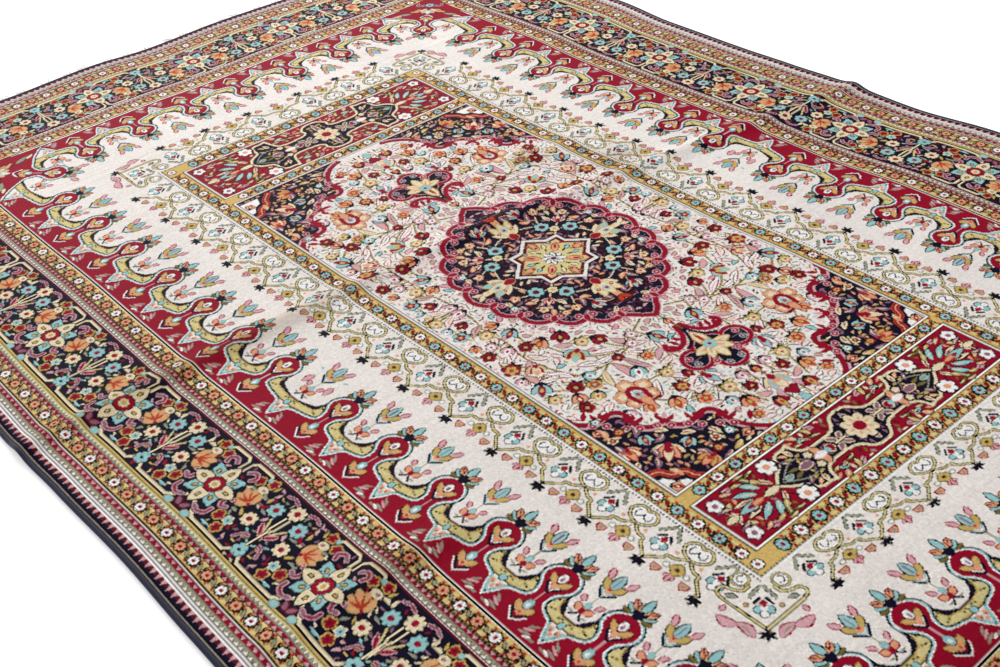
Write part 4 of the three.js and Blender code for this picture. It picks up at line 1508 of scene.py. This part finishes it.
def knot_colours():
    """The linear colour of every half knot."""
    colours = to_linear(list(YARNS.values()))[CHART]
    dice = np.random.default_rng(11)
    rows = 1 + ROW_SHADE * dice.standard_normal((HALF_KNOTS_ALONG // 2, 1)).repeat(2, axis=0)
    speckle = 1 + KNOT_SHADE * dice.standard_normal((HALF_KNOTS_ALONG // 2, HALF_KNOTS_ACROSS // 2))
    speckle = speckle.repeat(2, axis=0).repeat(2, axis=1) * rows
    # the colours are multiplied by the painted crease shade, the painted shade patches and the faint stains
    return np.clip(colours * speckle[:, :, None] * painted_shade_and_stains(), 0.0, 1.0)


def pile_strip(number, material, colours, heights):
    """One lengthwise strip of the pile, a face to each knot, edge to edge with the next."""
    across = KNOTS_ACROSS // PILE_STRIPS
    first = number * across
    x = CARPET_WIDTH * (np.arange(first, first + across + 1) / KNOTS_ACROSS - 0.5)
    y = CARPET_LENGTH * (np.arange(KNOTS_ALONG + 1) / KNOTS_ALONG - 0.5)
    points = np.stack((np.tile(x, len(y)), np.repeat(y, len(x)),
                       heights[:, first:first + across + 1].ravel()), axis=1)
    piece = make_object(f"pile_strip_{number + 1}", lay(points), grid_faces(len(y), len(x)), material)
    own = colours[:, 2 * first:2 * (first + across)]
    corners = np.stack((own[0::2, 0::2], own[0::2, 1::2], own[1::2, 1::2], own[1::2, 0::2]), axis=2)
    rgba = np.ones((KNOTS_ALONG, across, 4, 4), np.float32)
    rgba[..., :3] = corners
    layer = piece.data.color_attributes.new("yarn", "FLOAT_COLOR", "CORNER")
    layer.data.foreach_set("color", rgba.ravel())
    unfold_strip(piece, across)
    return piece


def unfold_strip(piece, across):
    """A flat map of the strip in three lengths side by side, so that a square picture holds it sharply."""
    rows = -(-KNOTS_ALONG // UNFOLDED_LENGTHS)
    knot = (1 - 2 * UNFOLDED_MARGIN) / (UNFOLDED_LENGTHS * (across + 2))
    row = np.repeat(np.arange(KNOTS_ALONG), across)
    column = np.tile(np.arange(across), KNOTS_ALONG)
    left = UNFOLDED_MARGIN + (row // rows * (across + 2) + column) * knot
    low = UNFOLDED_MARGIN + row % rows * knot
    u = left[:, None] + np.array((0, 1, 1, 0)) * knot
    v = low[:, None] + np.array((0, 0, 1, 1)) * knot
    layer = piece.data.uv_layers.new(name="OFBake")
    layer.data.foreach_set("uv", np.stack((u, v), axis=2).astype(np.float32).ravel())


def pile_heights():
    """The height of the pile's surface at each corner of the knots, rounded down at the rug's edges."""
    dice = np.random.default_rng(5)
    heights = CARPET_THICKNESS + KNOT_ROUGHNESS * dice.uniform(-1, 1, (KNOTS_ALONG + 1, KNOTS_ACROSS + 1))
    rows = np.minimum(np.arange(KNOTS_ALONG + 1), np.arange(KNOTS_ALONG, -1, -1))
    columns = np.minimum(np.arange(KNOTS_ACROSS + 1), np.arange(KNOTS_ACROSS, -1, -1))
    from_edge = np.minimum(rows[:, None], columns[None, :])
    return heights - np.select([from_edge == 0, from_edge == 1], EDGE_ROUNDING, 0.0)


def spaced(stops):
    """Places along a line: stops are (end, step) pairs after the first place."""
    places = [stops[0]]
    for end, step in stops[1:]:
        count = max(1, round((end - places[-1]) / step))
        places += list(np.linspace(places[-1], end, count + 1)[1:])
    return np.array(places)


def make_foundation(woven, edge):
    """The closed woven sheet under the pile, which also closes the pile's edges."""
    half = CARPET_LENGTH / 2
    y = spaced([-half, *FOUNDATION_ROWS, (half, 24)])
    x = np.linspace(-CARPET_WIDTH / 2, CARPET_WIDTH / 2, round(CARPET_WIDTH / FOUNDATION_COLUMN) + 1)
    flat = np.stack((np.tile(x, len(y)), np.repeat(y, len(x))), axis=1)
    count = len(flat)
    under = np.column_stack((flat, np.zeros(count)))
    over = np.column_stack((flat, np.full(count, FOUNDATION_TOP)))
    top_faces = grid_faces(len(y), len(x))
    index = np.arange(count).reshape(len(y), len(x))
    rim = np.concatenate((index[0, :-1], index[:-1, -1], index[-1, :0:-1], index[:0:-1, 0]))
    ahead = np.roll(rim, -1)
    walls = np.stack((rim, ahead, ahead + count, rim + count), axis=1)
    faces = np.vstack((top_faces[:, ::-1], top_faces + count, walls))
    piece = make_object("carpet_foundation", lay(np.vstack((under, over))), faces, woven)
    piece.data.materials.append(edge)
    of_edge = np.zeros(len(faces), np.int32)
    of_edge[-len(walls):] = 1
    piece.data.polygons.foreach_set("material_index", of_edge)
    smooth = np.ones(len(faces), bool)
    smooth[-len(walls):] = False
    piece.data.polygons.foreach_set("use_smooth", smooth)
    return piece


# The side cords
WRAP_PITCH = 3.0
WRAP_DEPTH = 0.28
CORD_SIDES = 8


def make_selvedge(name, side, material):
    """A side cord, overcast with slanting wraps of yarn."""
    length = CARPET_LENGTH
    steps = int(length / (WRAP_PITCH / 2))
    y = np.linspace(-length / 2, length / 2, steps + 1)
    turn = np.arange(CORD_SIDES) * 2 * math.pi / CORD_SIDES
    slant = y[:, None] / WRAP_PITCH * 2 * math.pi + turn[None, :] * 0.5 * side
    bulge = WRAP_DEPTH * (np.abs(np.sin(slant / 2)) - 1)
    taper = smoothstep(length / 2 - np.abs(y), 0.0, 4.0)[:, None] * 0.35 + 0.65
    wide = (SELVEDGE_WIDTH / 2 + bulge) * taper
    tall = (CARPET_THICKNESS / 2 + bulge) * taper
    middle = side * (CARPET_WIDTH / 2 + PIECE_GAP + SELVEDGE_WIDTH / 2)
    points = np.stack((middle + wide * np.cos(turn), np.repeat(y[:, None], CORD_SIDES, axis=1),
                       tall + tall * np.sin(turn)), axis=2).reshape(-1, 3)
    corner = np.arange(CORD_SIDES)
    ahead = (corner + 1) % CORD_SIDES
    start = (np.arange(steps) * CORD_SIDES)[:, None]
    faces = np.stack((start + corner, start + corner + CORD_SIDES, start + ahead + CORD_SIDES,
                      start + ahead), axis=2).reshape(-1, 4)
    cap = np.array(((0, 1, 2, 3), (3, 4, 7, 0), (4, 5, 6, 7)))
    last = steps * CORD_SIDES
    faces = np.vstack((faces, cap, (cap + last)[:, ::-1]))
    return make_object(name, lay(points), faces, material)


# The fringes
WEB_COLUMNS = 3 * TUFTS_PER_END
WEB_PROFILE = [(0.0, 0.0), (0.0, 1.0), (0.55, 1.0), (1.0, 0.35), (1.0, 0.0)]  # shares of depth and height
YARNS_PER_STRAND = 3
YARN_STEPS = 8
YARN_RADIUS = 0.42
YARN_TAPER = 0.6
YARN_REST = 0.22
YARN_TUCK = 1.2


def yarn_tube(path, radius):
    """A thin three-sided yarn along a path, thinner towards its tip; returns points and faces."""
    ahead = np.gradient(path, axis=0)
    side = np.stack((-ahead[:, 1], ahead[:, 0]), axis=1)
    side /= np.linalg.norm(side, axis=1)[:, None]
    rings = []
    for number, (place, across) in enumerate(zip(path, side)):
        size = radius * (1 - YARN_TAPER * number / (len(path) - 1))
        for turn in (math.pi / 2, math.pi * 7 / 6, math.pi * 11 / 6):
            shift = size * math.cos(turn)
            rings.append((place[0] + across[0] * shift, place[1] + across[1] * shift,
                          place[2] + size * (0.5 + math.sin(turn))))
    faces = []
    for number in range(len(path) - 1):
        a = number * 3
        for corner in range(3):
            after = (corner + 1) % 3
            faces.append((a + corner, a + after, a + 3 + after, a + 3 + corner))
    return rings, faces


def fringe_web(root):
    """Points and faces of the web of bare warps past the pile, ribbed along its width."""
    points = []
    for out, height in WEB_PROFILE:
        for column in range(WEB_COLUMNS + 1):
            rib = 0.78 + 0.22 * (column % 2)
            points.append((CARPET_WIDTH * (column / WEB_COLUMNS - 0.5), root + out * WEB_DEPTH,
                           height * WEB_THICKNESS * rib))
    faces = []
    wide = WEB_COLUMNS + 1
    for row in range(len(WEB_PROFILE)):
        for column in range(WEB_COLUMNS):
            a, b = row * wide + column, (row + 1) % len(WEB_PROFILE) * wide + column
            faces.append((a, a + 1, b + 1, b))
    return points, faces


def frayed_paths(end, root):
    """The path of every frayed yarn of one fringe, tuft by tuft."""
    draw = random.Random(21 + end)
    t = np.arange(YARN_STEPS + 1) / YARN_STEPS
    for number in range(TUFTS_PER_END):
        tuft_x = (-CARPET_WIDTH / 2 + (number + 0.5) * CARPET_WIDTH / TUFTS_PER_END
                  + TUFT_STRAY * math.sin(2.3 * number))
        tuft_lean = TUFT_LEAN * math.sin(1.7 * number + end)
        for strand in range(STRANDS_PER_TUFT):
            place = strand - 1
            share = abs(math.sin(2.9 * number + 2.1 * strand))
            length = STRAND_LENGTH * (STRAND_SHORTEST + (1 - STRAND_SHORTEST) * share)
            lean = tuft_lean + STRAND_SPREAD * place
            for _ in range(YARNS_PER_STRAND):
                off = draw.uniform(-0.7, 0.7)
                splay = draw.uniform(-3.4, 3.4)
                wave = draw.uniform(0.2, 1.3)
                phase = draw.uniform(0, 6.28)
                reach = length * draw.uniform(0.72, 1.0)
                x = (tuft_x + place * STRAND_PITCH + off + (lean + splay) * t * t
                     + STRAND_CURL * place * np.sin(math.pi * t) + wave * np.sin(phase + 5 * t) * t)
                z = YARN_REST + 0.5 * np.abs(np.sin(phase + 4 * t)) * (1 - t)
                yield np.column_stack((x, root + WEB_DEPTH - YARN_TUCK + reach * t, z))


def make_fringe(name, end, material):
    """A web of bare warps past the pile, and the frayed yarns of its tufts, level on the floor."""
    root = CARPET_LENGTH / 2 + PIECE_GAP
    points, faces = fringe_web(root)
    for path in frayed_paths(end, root):
        made, ring_faces = yarn_tube(path, YARN_RADIUS)
        base = len(points)
        points += made
        faces += [tuple(base + corner for corner in face) for face in ring_faces]
    placed = np.array(points)
    if end < 0:
        placed[:, :2] *= -1
    return make_object(name, lay(placed), faces, material)


# The scene around the rug
CAMERA = {"place": (-0.7198, -0.8220, 0.6907), "aim": (-0.1188, -0.0889, 0.005),
          "roll": -3.70, "lens": 47.12}
LAMP = {"place": (0.7, 2.4, 1.5), "aim": (0.0, 0.2, 0.0), "size": 2.2, "power": 64.0}
FLOOR_REACH = 40.0
FLOOR_DROP = 0.0003
FLOOR_GLOW = 0.4
SURROUND = 0.58


def make_camera():
    """The photograph's view: a hand-held camera above the near left corner."""
    camera = bpy.data.objects.new("camera", bpy.data.cameras.new("camera"))
    camera.data.lens = CAMERA["lens"]
    camera.data.sensor_width = 36.0
    camera.data.clip_start = 0.01
    place = Vector(CAMERA["place"])
    look = (Vector(CAMERA["aim"]) - place).to_track_quat("-Z", "Y").to_matrix().to_4x4()
    roll = Matrix.Rotation(math.radians(CAMERA["roll"]), 4, "Z")
    camera.matrix_world = Matrix.Translation(place) @ look @ roll
    bpy.context.collection.objects.link(camera)
    bpy.context.scene.camera = camera


def make_studio():
    """A white floor, an even white surround and a broad soft lamp behind the rug."""
    floor_look = Nodes("studio_floor", roughness=0.9, specular=0.1)
    floor_look.join(floor_look.blend(floor_look.noise(3.0), (0.97, 0.97, 0.97), (0.99, 0.99, 0.99)),
                    floor_look.shader.inputs["Base Color"])
    floor_look.shader.inputs["Emission Color"].default_value = (1.0, 1.0, 1.0, 1.0)
    floor_look.shader.inputs["Emission Strength"].default_value = FLOOR_GLOW
    corners = np.array(((-1, -1, 0), (1, -1, 0), (1, 1, 0), (-1, 1, 0))) * FLOOR_REACH
    floor = make_object("floor", corners - (0, 0, FLOOR_DROP), [(0, 1, 2, 3)], floor_look.material)
    world = bpy.data.worlds.new("studio")
    world.use_nodes = True
    sky = world.node_tree.nodes["Background"]
    sky.inputs["Color"].default_value = (1.0, 1.0, 1.0, 1.0)
    sky.inputs["Strength"].default_value = SURROUND
    bpy.context.scene.world = world
    add_lamp("key_lamp")
    bpy.context.scene.view_settings.view_transform = "Standard"


def add_lamp(name):
    data = bpy.data.lights.new(name, "AREA")
    data.energy = LAMP["power"]
    data.size = LAMP["size"]
    lamp = bpy.data.objects.new(name, data)
    lamp.location = LAMP["place"]
    look = Vector(LAMP["aim"]) - Vector(LAMP["place"])
    lamp.rotation_euler = look.to_track_quat("-Z", "Y").to_euler()
    bpy.context.collection.objects.link(lamp)


def make_rug():
    """All pieces of the rug, each riding on the one body and standing for its solid."""
    draw_pattern()
    navy_yarn = yarn_material("navy_yarn", (0.09, 0.08, 0.17), (0.17, 0.16, 0.28))
    foundation = make_foundation(foundation_material(), navy_yarn)
    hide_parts("pile_carpet")
    pile = pile_material()
    colours = knot_colours()
    heights = pile_heights()
    strips = [pile_strip(number, pile, colours, heights) for number in range(PILE_STRIPS)]
    cords = []
    for name, side in (("left", -1), ("right", 1)):
        cord = make_selvedge(f"overcast_{name}", side, navy_yarn)
        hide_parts(f"selvedge_{name}")
        cords.append(cord)
    grey_yarn = yarn_material("frayed_yarn", (0.66, 0.63, 0.66), (0.88, 0.86, 0.87))
    fringes = []
    for name, end in (("far", 1), ("near", -1)):
        fringe = make_fringe(f"frayed_{name}", end, grey_yarn)
        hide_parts(f"fringe_{name}")
        fringes.append(fringe)
    for piece in [foundation, *strips, *cords, *fringes]:
        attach(piece, "root")


make_camera()
make_studio()
make_rug()
